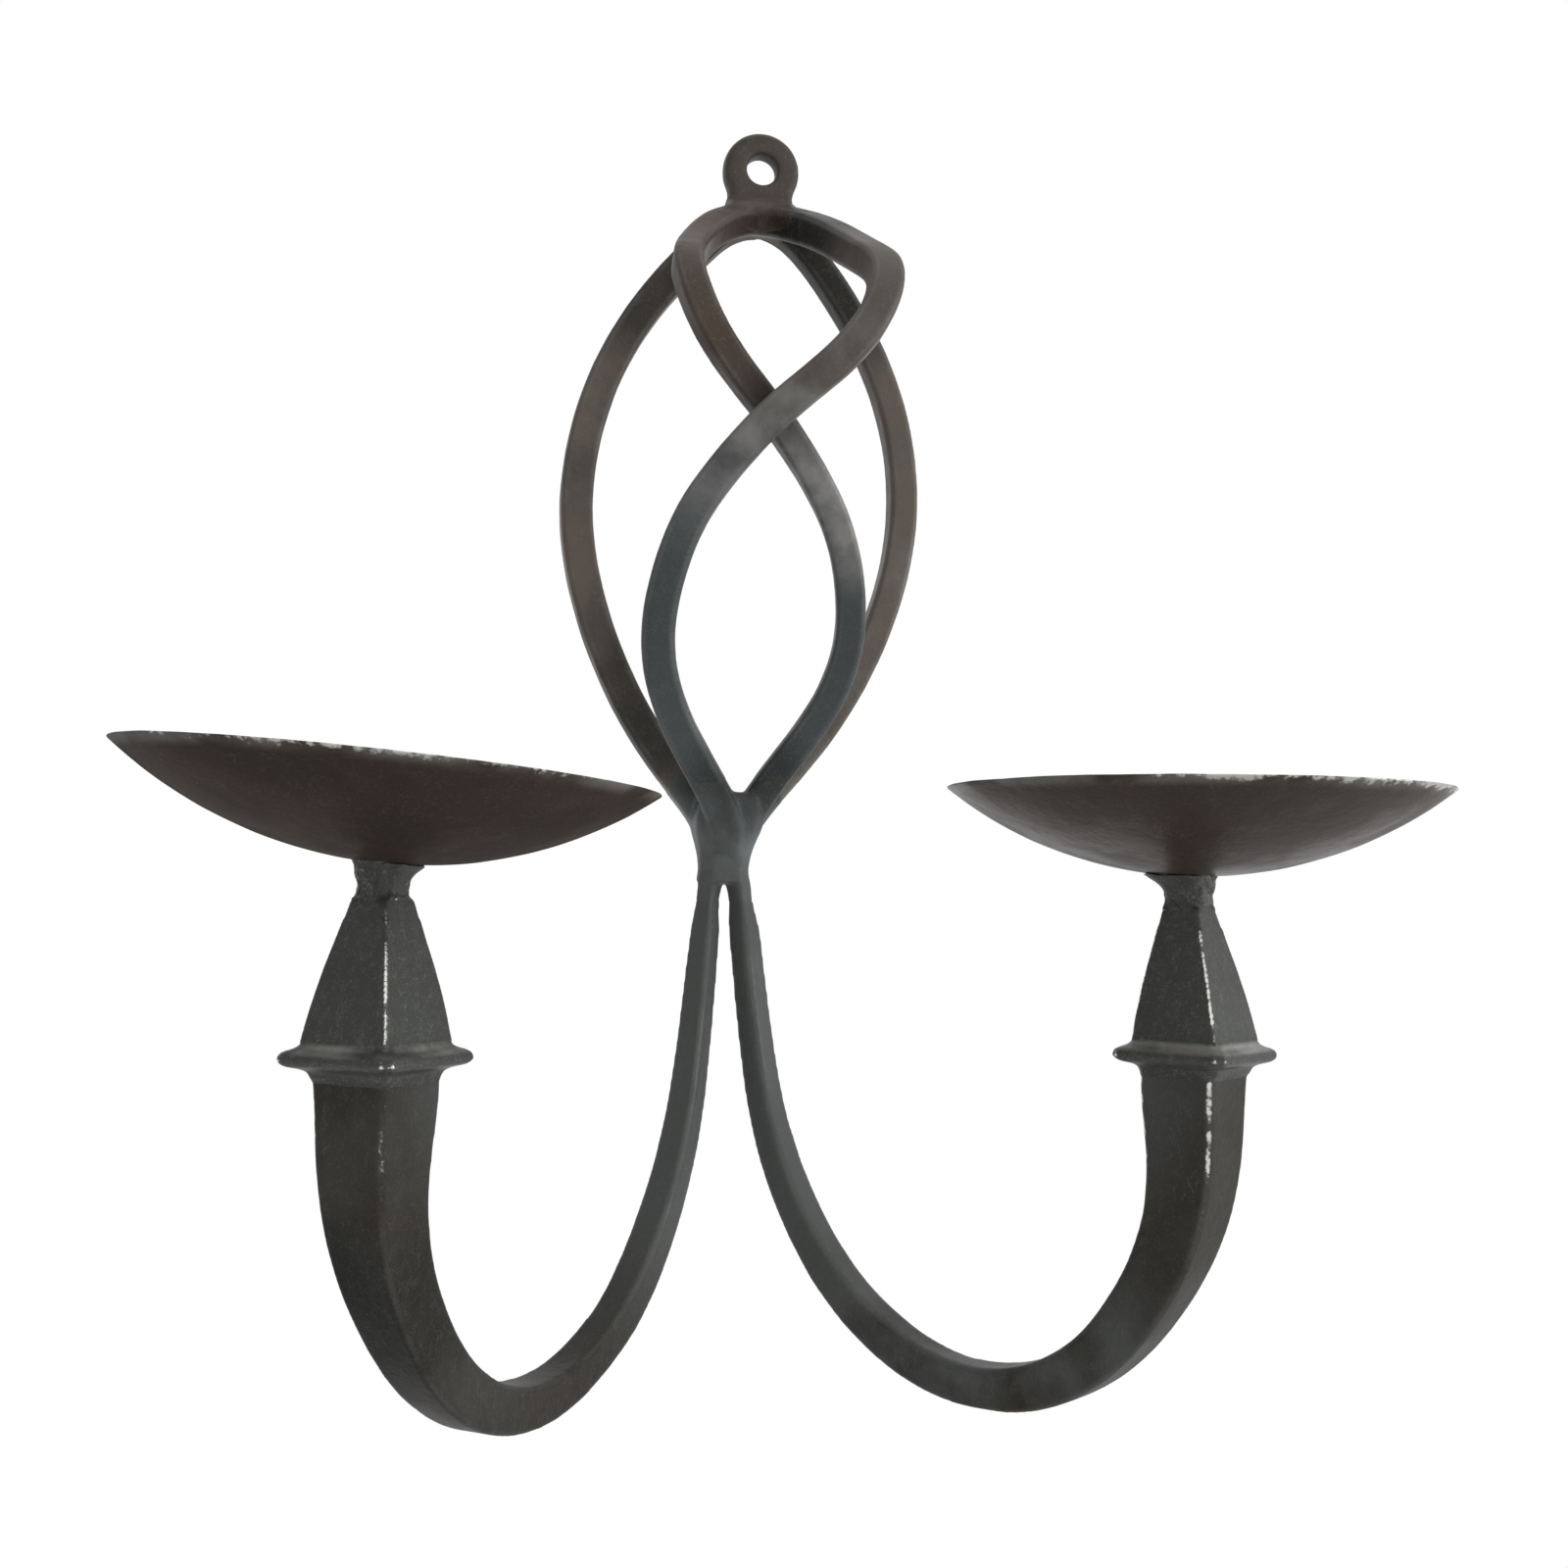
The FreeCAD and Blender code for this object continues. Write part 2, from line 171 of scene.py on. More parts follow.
class NodeSheet:
    """Short way to place and join the nodes of one tree."""

    def __init__(self, tree: bpy.types.NodeTree) -> None:
        """Start on a tree.

        Args:
            tree: the node tree of a material, a world or a group.
        """
        self.tree = tree

    def place(self, kind: str, inputs: dict | None = None, **settings: object) -> bpy.types.Node:
        """Place a node.

        Args:
            kind: the node's type name.
            inputs: values or sockets for its inputs, by name or number.
            settings: the node's own settings.

        Returns:
            The new node.
        """
        node = self.tree.nodes.new(kind)
        for name, value in settings.items():
            setattr(node, name, value)
        self.feed(node, inputs or {})
        return node

    def feed(self, node: bpy.types.Node, inputs: dict) -> None:
        """Give a node its inputs.

        Args:
            node: the node.
            inputs: values or sockets, by the input's name or number.
        """
        for key, value in inputs.items():
            if isinstance(value, bpy.types.NodeSocket):
                self.tree.links.new(value, node.inputs[key])
            else:
                node.inputs[key].default_value = value

    def math(self, operation: str, first: object, second: object = 0.0) -> bpy.types.NodeSocket:
        """Work out one value from two.

        Args:
            operation: the name of the operation.
            first: a value or a socket.
            second: a value or a socket.

        Returns:
            The socket with the result.
        """
        node = self.place("ShaderNodeMath", {0: first, 1: second}, operation=operation)
        return node.outputs[0]

    def plus(self, first: object, second: object) -> bpy.types.NodeSocket:
        """The sum of two values."""
        return self.math("ADD", first, second)

    def minus(self, first: object, second: object) -> bpy.types.NodeSocket:
        """The first value less the second."""
        return self.math("SUBTRACT", first, second)

    def times(self, first: object, second: object) -> bpy.types.NodeSocket:
        """The product of two values."""
        return self.math("MULTIPLY", first, second)

    def distance(self, place: bpy.types.NodeSocket, middle: Sequence[float]) -> bpy.types.NodeSocket:
        """How far a place is from a fixed one."""
        node = self.place("ShaderNodeVectorMath", {0: place, 1: middle}, operation="DISTANCE")
        return node.outputs["Value"]

    def ramp(
        self, value: object, low: float, high: float, start: float = 0.0, end: float = 1.0
    ) -> bpy.types.NodeSocket:
        """Turn a range of values smoothly into another.

        Args:
            value: the socket to read.
            low: the value that gives start.
            high: the value that gives end.
            start: the result at low.
            end: the result at high.

        Returns:
            The socket with the result.
        """
        node = self.place(
            "ShaderNodeMapRange",
            {"Value": value, "From Min": low, "From Max": high, "To Min": start, "To Max": end},
            interpolation_type="SMOOTHSTEP",
        )
        return node.outputs["Result"]

    def blend(self, share: object, first: object, second: object) -> bpy.types.NodeSocket:
        """Blend two colours.

        Args:
            share: how much of the second colour.
            first: a colour or a socket.
            second: a colour or a socket.

        Returns:
            The socket with the colour.
        """
        colours = [
            value if isinstance(value, bpy.types.NodeSocket) else (*value, 1.0) for value in (first, second)
        ]
        node = self.place("ShaderNodeMix", data_type="RGBA", clamp_factor=True)
        self.feed(node, {0: share, 6: colours[0], 7: colours[1]})
        return node.outputs[2]

    def noise(self, vector: object, scale: object, detail: float, roughness: float) -> bpy.types.NodeSocket:
        """Read soft noise.

        Args:
            vector: the socket with the place.
            scale: how many blobs there are to a metre.
            detail: how many finer layers are added.
            roughness: how strong the finer layers are.

        Returns:
            The socket with the value.
        """
        node = self.place(
            "ShaderNodeTexNoise", {"Vector": vector, "Scale": scale, "Detail": detail, "Roughness": roughness}
        )
        return node.outputs[0]


@dataclass(frozen=True)
class GroupSocket:
    """One input of a node group."""

    name: str
    default: float | None = None


class FinishGroups:
    """Effects that all the irons share, each as one node group."""

    def __init__(self) -> None:
        """Build every group once."""
        self.scale = self.forge_scale()
        self.wear = self.edge_wear()
        self.scratches = self.hairlines()
        self.dust = self.cove_dust()

    @staticmethod
    def start(
        name: str, inputs: Sequence[GroupSocket], outputs: Sequence[str]
    ) -> tuple[NodeSheet, dict, bpy.types.Node]:
        """Open a group.

        Args:
            name: the group's name.
            inputs: its inputs; one with no default takes a place.
            outputs: the names of its outputs, all values.

        Returns:
            The sheet, the input sockets by name and the output node.
        """
        tree = bpy.data.node_groups.new(name, "ShaderNodeTree")
        for entry in inputs:
            kind = "NodeSocketVector" if entry.default is None else "NodeSocketFloat"
            made = tree.interface.new_socket(name=entry.name, in_out="INPUT", socket_type=kind)
            if entry.default is not None:
                made.default_value = entry.default
        for output in outputs:
            tree.interface.new_socket(name=output, in_out="OUTPUT", socket_type="NodeSocketFloat")
        sheet = NodeSheet(tree)
        entrance = sheet.place("NodeGroupInput")
        leave = sheet.place("NodeGroupOutput")
        return sheet, {socket.name: socket for socket in entrance.outputs}, leave

    def forge_scale(self) -> bpy.types.NodeTree:
        """Mottled scale: broad patches, fine grain and the height of pits.

        Returns:
            The group.
        """
        sheet, given, leave = self.start(
            "forge_scale",
            [GroupSocket("Vector"), GroupSocket("Patches per m", 45.0), GroupSocket("Grains per m", 1500.0)],
            ["Patches", "Grain", "Height"],
        )
        broad = sheet.noise(given["Vector"], given["Patches per m"], detail=4.0, roughness=0.55)
        fine = sheet.noise(given["Vector"], given["Grains per m"], detail=2.0, roughness=0.6)
        coarse = sheet.times(given["Grains per m"], 0.22)
        middle = sheet.noise(given["Vector"], coarse, detail=3.0, roughness=0.6)
        grain = sheet.plus(sheet.times(fine, 0.62), sheet.times(middle, 0.38))
        height = sheet.plus(sheet.times(fine, 0.4), middle)
        sheet.tree.links.new(sheet.ramp(broad, 0.36, 0.64), leave.inputs["Patches"])
        sheet.tree.links.new(sheet.ramp(grain, 0.48, 0.68), leave.inputs["Grain"])
        sheet.tree.links.new(height, leave.inputs["Height"])
        return sheet.tree

    def edge_wear(self) -> bpy.types.NodeTree:
        """Bare metal along ridges, broken up where the blacking has held.

        Returns:
            The group.
        """
        sheet, given, leave = self.start(
            "edge_wear",
            [GroupSocket("Vector"), GroupSocket("Amount", 0.5), GroupSocket("Breaks per m", 420.0)],
            ["Mask", "Edge"],
        )
        ridge = sheet.place("ShaderNodeAttribute", attribute_name="ridge").outputs["Fac"]
        short = sheet.noise(given["Vector"], given["Breaks per m"], detail=4.0, roughness=0.65)
        sparse = sheet.times(given["Breaks per m"], 0.2)
        long = sheet.noise(given["Vector"], sparse, detail=2.0, roughness=0.5)
        breaks = sheet.plus(sheet.times(short, 0.6), sheet.times(long, 0.4))
        lift = sheet.plus(ridge, sheet.times(sheet.minus(breaks, 0.5), 2.4))
        threshold = sheet.minus(1.3, given["Amount"])
        mask = sheet.times(sheet.minus(lift, threshold), 4.0)
        bare = sheet.times(sheet.ramp(mask, 0.0, 1.0), sheet.ramp(ridge, 0.55, 0.85))
        sheet.tree.links.new(bare, leave.inputs["Mask"])
        paler = sheet.times(sheet.ramp(ridge, 0.3, 1.0), sheet.ramp(long, 0.3, 0.6))
        sheet.tree.links.new(paler, leave.inputs["Edge"])
        return sheet.tree

    def hairlines(self) -> bpy.types.NodeTree:
        """Short fine scratches that run mostly along the height.

        Returns:
            The group.
        """
        sheet, given, leave = self.start(
            "hairlines",
            [GroupSocket("Vector"), GroupSocket("Lines per m", 260.0), GroupSocket("Width", 0.012)],
            ["Mask"],
        )
        stretched = sheet.place(
            "ShaderNodeMapping",
            {"Vector": given["Vector"], "Rotation": (0.35, 0.5, 0.2), "Scale": (3.0, 3.0, 0.8)},
        ).outputs[0]
        lines = sheet.noise(stretched, given["Lines per m"], detail=1.0, roughness=0.3)
        off = sheet.math("ABSOLUTE", sheet.minus(lines, 0.5))
        thin = sheet.math("LESS_THAN", off, given["Width"])
        where = sheet.ramp(sheet.noise(given["Vector"], 130.0, detail=2.0, roughness=0.5), 0.52, 0.66)
        sheet.tree.links.new(sheet.times(thin, where), leave.inputs["Mask"])
        return sheet.tree

    def cove_dust(self) -> bpy.types.NodeTree:
        """Pale dust and old wax that stays in coves.

        Returns:
            The group.
        """
        sheet, given, leave = self.start(
            "cove_dust", [GroupSocket("Vector"), GroupSocket("Amount", 0.5)], ["Mask"]
        )
        cove = sheet.place("ShaderNodeAttribute", attribute_name="cove").outputs["Fac"]
        patches = sheet.noise(given["Vector"], 380.0, detail=4.0, roughness=0.6)
        patchy = sheet.ramp(patches, 0.3, 0.62, 0.25, 1.0)
        dusty = sheet.times(sheet.times(cove, patchy), given["Amount"])
        sheet.tree.links.new(dusty, leave.inputs["Mask"])
        return sheet.tree


@dataclass(frozen=True)
class PaintedShade:
    """A patch of painted shade in black: its middle, how far it reaches and how black it is."""

    place: tuple[float, ...]
    reach: float
    share: float = 0.9


@dataclass(frozen=True)
class IronFinish:
    """One finish of blackened iron.

    The tone turns from first to second over broad patches, and wholly to second within knot_reach of the
    turn place. Wear falls from wear to wear_far away from wear_place, and a paler band of its own tone lies
    around one height, which on the bars and the knot is painted sheen and painted highlight.
    Ridges are a little paler all along by handled, and black patches of painted shade lie over all of it. A
    core is the share of a reach over which something counts in full.
    """

    name: str
    first: Tone
    second: Tone
    roughness: float = 0.44
    metallic: float = 0.2
    specular: float = 0.12
    wear: float = 0.2
    wear_far: float | None = None
    wear_place: tuple[float, ...] = (0.0, 0.0, 0.0)
    wear_reach: float = 36 * MM
    bare: Tone = Tone.BRIGHT
    handled: float = 0.25
    # Patches of painted shade, where shade falls on the iron
    painted_shades: tuple[PaintedShade, ...] = ()
    dust: float = 0.25
    mottle: float = 0.5
    grain_depth: float = 0.24 * MM
    grains_per_m: float = 1500.0
    speckle: float = 0.16
    knot_reach: float | None = None
    # A paler band around one height: painted sheen and painted highlight on the bars and the knot
    pale_band: float = 0.0
    pale_band_tone: Tone = Tone.RUBBED_AND_SHEEN
    pale_band_height: float = 0.0
    pale_band_reach: float = 30 * MM
    pale_band_core: float = 0.2
    pale_band_patches_per_m: float = 80.0
    wear_core: float = 0.4
    shade_core: float = 0.45
    scratches: float = 0.12
    patch_rough: tuple[float, float] = (-0.06, 0.07)
    grain_rough: float = 0.08
    bare_smooth: float = 0.16
    dust_rough: float = 0.3
    bare_metal: float = 0.9
    dust_dull: float = 0.3
    bump: float = 0.6

    def material(self, groups: FinishGroups) -> bpy.types.Material:
        """Build the finish.

        Args:
            groups: the effects that the irons share.

        Returns:
            The material.
        """
        made = bpy.data.materials.new(self.name)
        made.use_nodes = True
        sheet = NodeSheet(made.node_tree)
        sheet.tree.nodes.clear()
        place = sheet.place("ShaderNodeTexCoord").outputs["Object"]
        scale = self.effect(sheet, groups.scale, {"Vector": place, "Grains per m": self.grains_per_m})
        height = sheet.place("ShaderNodeSeparateXYZ", {0: place}).outputs["Z"]
        amount = self.wear_amount(sheet, place)
        edges = self.effect(sheet, groups.wear, {"Vector": place, "Amount": amount})
        wear = edges.outputs["Mask"]
        lines = self.effect(sheet, groups.scratches, {"Vector": place}).outputs["Mask"]
        dust = self.effect(sheet, groups.dust, {"Vector": place, "Amount": self.dust}).outputs["Mask"]
        colour = sheet.blend(self.tone_share(sheet, place, scale), self.first.value, self.second.value)
        # Paler band around one height: painted sheen and highlight on the bars and knot
        if self.pale_band:
            colour = sheet.blend(self.pale_band_share(sheet, place, height), colour, self.pale_band_tone.value)
        # Painted shade: patches blended towards black
        for shade in self.painted_shades:
            away = sheet.distance(place, shade.place)
            near = sheet.ramp(away, self.shade_core * shade.reach, shade.reach, shade.share, 0.0)
            colour = sheet.blend(near, colour, Tone.BLACK.value)
        edge = sheet.times(edges.outputs["Edge"], self.handled)
        colour = sheet.blend(edge, colour, Tone.RUBBED_AND_SHEEN.value)
        grains = sheet.times(scale.outputs["Grain"], self.speckle)
        speckled = sheet.blend(grains, colour, Tone.CHALK.value)
        scratched = sheet.blend(sheet.times(lines, self.scratches), speckled, Tone.RUBBED_AND_SHEEN.value)
        dusted = sheet.blend(dust, scratched, Tone.DUST.value)
        worn = sheet.blend(wear, dusted, self.bare.value)
        least, most = (self.roughness + step for step in self.patch_rough)
        rough = sheet.ramp(scale.outputs["Patches"], 0.0, 1.0, least, most)
        rough = sheet.plus(rough, sheet.times(scale.outputs["Grain"], self.grain_rough))
        rough = sheet.minus(rough, sheet.times(wear, self.bare_smooth))
        rough = sheet.plus(rough, sheet.times(dust, self.dust_rough))
        metal = sheet.ramp(wear, 0.0, 1.0, self.metallic, self.bare_metal)
        metal = sheet.minus(metal, sheet.times(dust, self.dust_dull))
        bump = sheet.place(
            "ShaderNodeBump",
            {"Height": scale.outputs["Height"], "Strength": self.bump, "Distance": self.grain_depth},
        )
        shader = sheet.place(
            "ShaderNodeBsdfPrincipled",
            {
                "Base Color": worn, "Roughness": rough, "Metallic": metal, "Normal": bump.outputs[0],
                "Specular IOR Level": self.specular,
            },
        )
        sheet.place("ShaderNodeOutputMaterial", {"Surface": shader.outputs[0]})
        return made

    @staticmethod
    def effect(sheet: NodeSheet, group: bpy.types.NodeTree, inputs: dict) -> bpy.types.Node:
        """Place a shared effect with this finish's own values."""
        return sheet.place("ShaderNodeGroup", inputs, node_tree=group)

    def wear_amount(self, sheet: NodeSheet, place: bpy.types.NodeSocket) -> float | bpy.types.NodeSocket:
        """How worn the ridges are at a place.

        Args:
            sheet: the finish's node sheet.
            place: the socket with the place.

        Returns:
            A value or a socket.
        """
        if self.wear_far is None:
            return self.wear
        away = sheet.distance(place, self.wear_place)
        return sheet.ramp(away, self.wear_core * self.wear_reach, self.wear_reach, self.wear, self.wear_far)

    def tone_share(
        self, sheet: NodeSheet, place: bpy.types.NodeSocket, scale: bpy.types.Node
    ) -> bpy.types.NodeSocket:
        """How much of the second tone shows at a place.

        Args:
            sheet: the finish's node sheet.
            place: the socket with the place.
            scale: the node of the forge scale.

        Returns:
            The socket with the share.
        """
        patches = sheet.times(scale.outputs["Patches"], self.mottle)
        if self.knot_reach is None:
            return patches
        away = sheet.distance(place, TURN_PLACE)
        near = sheet.ramp(away, self.knot_reach - TURN_WITHIN, self.knot_reach + TURN_BEYOND, 1.0, 0.0)
        return sheet.math("MAXIMUM", near, patches)

    def pale_band_share(
        self, sheet: NodeSheet, place: bpy.types.NodeSocket, height: bpy.types.NodeSocket
    ) -> bpy.types.NodeSocket:
        """How much of the paler band, painted sheen and highlight on the bars and knot, shows at a place
        around one height.

        Args:
            sheet: the finish's node sheet.
            place: the socket with the place.
            height: the socket with the place's height.

        Returns:
            The socket with the share.
        """
        away = sheet.math("ABSOLUTE", sheet.minus(height, self.pale_band_height))
        near = sheet.ramp(away, self.pale_band_core * self.pale_band_reach, self.pale_band_reach, self.pale_band, 0.0)
        patches = sheet.noise(place, self.pale_band_patches_per_m, detail=5.0, roughness=0.5)
        return sheet.times(near, sheet.ramp(patches, 0.3, 0.7))


# Mesh work


def merged_copy(node: bpy.types.Object) -> bmesh.types.BMesh:
    """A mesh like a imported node's, with its loose triangles joined.

    Args:
        node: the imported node.

    Returns:
        The new mesh.
    """
    bm = bmesh.new()
    bm.from_mesh(node.data)
    bmesh.ops.remove_doubles(bm, verts=bm.verts, dist=MERGE)
    return bm


def extent(bm: bmesh.types.BMesh) -> tuple[Vector, Vector]:
    """A mesh's lowest and highest corner."""
    places = np.array([vert.co for vert in bm.verts])
    return Vector(places.min(0)), Vector(places.max(0))


def on_axis(low: Vector, high: Vector, height: float) -> Vector:
    """The place at a height in the middle of a box."""
    return Vector(((low.x + high.x) / 2, (low.y + high.y) / 2, height))


def keep_inside(bm: bmesh.types.BMesh, low: Vector, high: Vector) -> None:
    """Cut a mesh off outside a box, and close the cuts.

    Args:
        bm: the mesh.
        low: the box's lowest corner.
        high: the box's highest corner.
    """
    for axis in (AHEAD, UP, ACROSS):
        for corner, normal in ((low, -axis), (high, axis)):
            everything = bm.verts[:] + bm.edges[:] + bm.faces[:]
            bmesh.ops.bisect_plane(
                bm, geom=everything, dist=CUT_SLACK, plane_co=corner, plane_no=normal, clear_outer=True
            )
            rim = [edge for edge in bm.edges if edge.is_boundary]
            bmesh.ops.holes_fill(bm, edges=rim, sides=0)


def joined(parts: Sequence[bmesh.types.BMesh]) -> bmesh.types.BMesh:
    """Put several meshes into one and free them.

    Args:
        parts: the meshes.

    Returns:
        The one mesh.
    """
    whole = bmesh.new()
    for part in parts:
        carrier = bpy.data.meshes.new("carrier")
        part.to_mesh(carrier)
        part.free()
        whole.from_mesh(carrier)
        bpy.data.meshes.remove(carrier)
    return whole


def skinned(bm: bmesh.types.BMesh, grid: float) -> bmesh.types.BMesh:
    """Give a closed mesh, or several that overlap, one even skin of small quads.

    Args:
        bm: the mesh, which is freed.
        grid: the size of a quad.

    Returns:
        The skin.
    """
    carrier = bpy.data.meshes.new("carrier")
    bm.to_mesh(carrier)
    bm.free()
    holder = bpy.data.objects.new("holder", carrier)
    bpy.context.scene.collection.objects.link(holder)
    remesh = holder.modifiers.new("skin", "REMESH")
    remesh.mode = "VOXEL"
    remesh.voxel_size = grid
    graph = bpy.context.evaluated_depsgraph_get()
    mesh = bpy.data.meshes.new_from_object(holder.evaluated_get(graph))
    skin = bmesh.new()
    skin.from_mesh(mesh)
    bpy.data.objects.remove(holder)
    bpy.data.meshes.remove(carrier)
    bpy.data.meshes.remove(mesh)
    return skin


def lengthen(bm: bmesh.types.BMesh, by: float) -> None:
    """Draw a mesh's flat end out, so that the end lies inside its neighbour.

    Args:
        bm: the mesh.
        by: how far, up from the top or, where it is negative, down from the bottom.
    """
    low, high = extent(bm)
    level = high.z if by > 0.0 else low.z
    end = [face for face in bm.faces if all(abs(vert.co.z - level) < FLAT for vert in face.verts)]
    draw_out(bm, end, by)


def draw_out(bm: bmesh.types.BMesh, end: Sequence[bmesh.types.BMFace], by: float) -> None:
    """Draw a mesh's end out upwards or, where by is negative, downwards.

    Args:
        bm: the mesh.
        end: the faces of the end.
        by: how far.
    """
    grown = bmesh.ops.extrude_face_region(bm, geom=end)
    verts = [part for part in grown["geom"] if isinstance(part, bmesh.types.BMVert)]
    bmesh.ops.translate(bm, vec=UP * by, verts=verts)
    bmesh.ops.delete(bm, geom=end, context="FACES")


@dataclass(frozen=True)
class Junction:
    """How a piece runs out over the ends of its neighbours.

    It reaches over them by stub, in quads of grid, eased by passes. It stands out by swell at its middle and
    lies under their surface by sink at its ends, sooner with more fade. Margin is how far beside the piece
    the neighbours are kept.
    """

    stub: float
    grid: float
    passes: int
    swell: float = 0.0
    sink: float = 0.7 * MM
    margin: float = 6 * MM
    fade: float = 1.3

    def skin(self, own: bmesh.types.BMesh, neighbours: Sequence[bmesh.types.BMesh]) -> bmesh.types.BMesh:
        """Skin of a piece that runs smoothly out over the ends of those above and below it.

        Args:
            own: the piece, which is freed.
            neighbours: the pieces that it joins, which are freed.

        Returns:
            The skin.
        """
        low, high = extent(own)
        reach = Vector((self.margin, self.margin, self.stub))
        for neighbour in neighbours:
            keep_inside(neighbour, low - reach, high + reach)
        made = skinned(joined([own, *[part for part in neighbours if part.faces]]), self.grid)
        relax(made, self.passes)
        middle = (low.z + high.z) / 2
        half = (high.z - low.z) / 2

        def height(place: Vector) -> float:
            """Full at the piece, and sunk into the neighbours away from it.

            Args:
                place: where a point of the skin lies.

            Returns:
                How far it moves outwards.
            """
            beyond = (abs(place.z - middle) - half) / self.stub
            share = min(1.0, max(0.0, self.fade * beyond))
            share *= share * (3.0 - 2.0 * share)
            return self.swell * (1.0 - share) - self.sink * share

        press(made, height, level=True)
        return made


def relax(bm: bmesh.types.BMesh, times: int, where: Callable[[Vector], bool] | None = None) -> None:
    """Ease a skin's small steps and edges out.

    Args:
        bm: the skin.
        times: how often it is eased.
        where: tells whether a point at a place is eased; without it all are.
    """
    chosen = [vert for vert in bm.verts if where is None or where(vert.co)]
    for _ in range(times):
        bmesh.ops.smooth_vert(bm, verts=chosen, factor=0.5, use_axis_x=True, use_axis_y=True, use_axis_z=True)


def press(bm: bmesh.types.BMesh, height: Height, level: bool = False) -> None:
    """Move a mesh's points along their normals.

    Args:
        bm: the mesh.
        height: how far a point at a place moves outwards.
        level: whether points only move sideways.
    """
    bm.normal_update()
    flatten = Vector((1.0, 1.0, 0.0 if level else 1.0))
    moves = [vert.normal * flatten * height(vert.co) for vert in bm.verts]
    for vert, move in zip(bm.verts, moves):
        vert.co += move


@dataclass(frozen=True)
class Blows:
    """Marks of a hammer: how far apart the blows lie, how deep they go in, and a slow wave under them."""

    apart: float
    depth: float
    sway: float = 0.0

    def surface(self, seed: float) -> Height:
        """Surface that the blows leave: shallow overlapping dishes on the wave, all of it inwards.

        Args:
            seed: sets one surface apart from another.

        Returns:
            The height at a place.
        """
        shift = Vector([seed * step for step in SEED_STEPS])

        def at(place: Vector) -> float:
            """Height at a place.

            Args:
                place: where a point of the piece lies.

            Returns:
                How far it moves outwards.
            """
            nearest = noise.voronoi(place / self.apart + shift)[0][0]
            slow = noise.noise(place / (self.apart * WAVE_BLOWS) - shift)
            fine = noise.noise(place / (self.apart * GRAIN_BLOWS) + shift)
            dish = self.depth * (1.0 - min(1.0, nearest))
            return -dish - self.sway * (0.5 + 0.5 * slow) - GRAIN_SHARE * self.depth * (1.0 + fine)

        return at


def corner_line(bm: bmesh.types.BMesh, gather: float = 1.1 * MM) -> list[Vector]:
    """Points close together along the middle of a mesh's rounded corners.

    Args:
        bm: the mesh.
        gather: how far apart the two sides of a corner may lie.

    Returns:
        The points.
    """
    spots = []
    for edge in bm.edges:
        if CORNER_BEND[0] < edge.calc_face_angle_signed(0.0) < CORNER_BEND[1]:
            first, last = (vert.co for vert in edge.verts)
            count = max(1, round((last - first).length / CORNER_STEP))
            spots += [first.lerp(last, (index + 0.5) / count) for index in range(count)]
    tree = point_tree(spots)
    middles = []
    for spot in spots:
        close = [found[0] for found in tree.find_range(spot, gather)]
        middles.append(sum(close, Vector()) / len(close))
    return middles


def point_tree(spots: Sequence[Vector]) -> kdtree.KDTree:
    """A search tree of points.

    Args:
        spots: the points.

    Returns:
        The tree.
    """
    tree = kdtree.KDTree(len(spots))
    for index, spot in enumerate(spots):
        tree.insert(spot, index)
    tree.balance()
    return tree


def eased(value: float, start: float, end: float) -> float:
    """Smooth share of the way from start to end, between 0 and 1."""
    share = min(1.0, max(0.0, (value - start) / (end - start)))
    return share * share * (3.0 - 2.0 * share)


def rows(items: bpy.types.bpy_prop_collection, name: str) -> np.ndarray:
    """A place or direction of each item, as rows.

    Args:
        items: the points of a mesh, or the like.
        name: what is read of each.

    Returns:
        One row of three values for each item.
    """
    values = np.empty(len(items) * 3)
    items.foreach_get(name, values)
    return values.reshape(-1, 3)


def mark_shape(mesh: bpy.types.Mesh, sharp: float, line: Sequence[Vector] | None) -> None:
    """Store how far each point stands out as a ridge or lies in a cove, for the finishes to read.

    Args:
        mesh: the mesh, with small even faces.
        sharp: the bend at which a ridge counts in full.
        line: points along the ridges; without it, ridges are found by their bend.
    """
    count = len(mesh.vertices)
    places = rows(mesh.vertices, "co")
    normals = rows(mesh.vertices, "normal")
    pairs = np.empty(len(mesh.edges) * 2, int)
    mesh.edges.foreach_get("vertices", pairs)
    start, end = np.concatenate([pairs.reshape(-1, 2), pairs.reshape(-1, 2)[:, ::-1]]).T
    links = np.maximum(np.bincount(start, minlength=count), 1)
    step = places[end] - places[start]
    rise = np.bincount(start, (step * normals[start]).sum(1), minlength=count)
    around = np.bincount(start, np.linalg.norm(step, axis=1), minlength=count)
    bend = -rise / np.maximum(around, 1e-12)
    for _ in range(2):
        bend = 0.5 * bend + 0.5 * np.bincount(start, bend[end], minlength=count) / links
    if line:
        # A ridge fades out over as much as the edges at a point add up to
        tree = point_tree(line)
        ridge = 1.0 - np.array([tree.find(place)[2] for place in places]) / around
    else:
        ridge = (bend / sharp - FAINT_SHARE) / (1.0 - FAINT_SHARE)
    looks_up = np.clip(UPRIGHT_SHARE + LOOKS_UP_GAIN * normals[:, 2], 0.0, 1.0)
    hollow = (-COVE_GAIN * bend / sharp - FAINT_SHARE) / (1.0 - FAINT_SHARE)
    cove = looks_up * np.clip(hollow, 0.0, 1.0)
    for name, share in (("ridge", ridge), ("cove", cove)):
        mark = mesh.attributes.new(name, "FLOAT", "POINT")
        mark.data.foreach_set("value", np.clip(share, 0.0, 1.0).astype(np.float32))


# The light's pieces


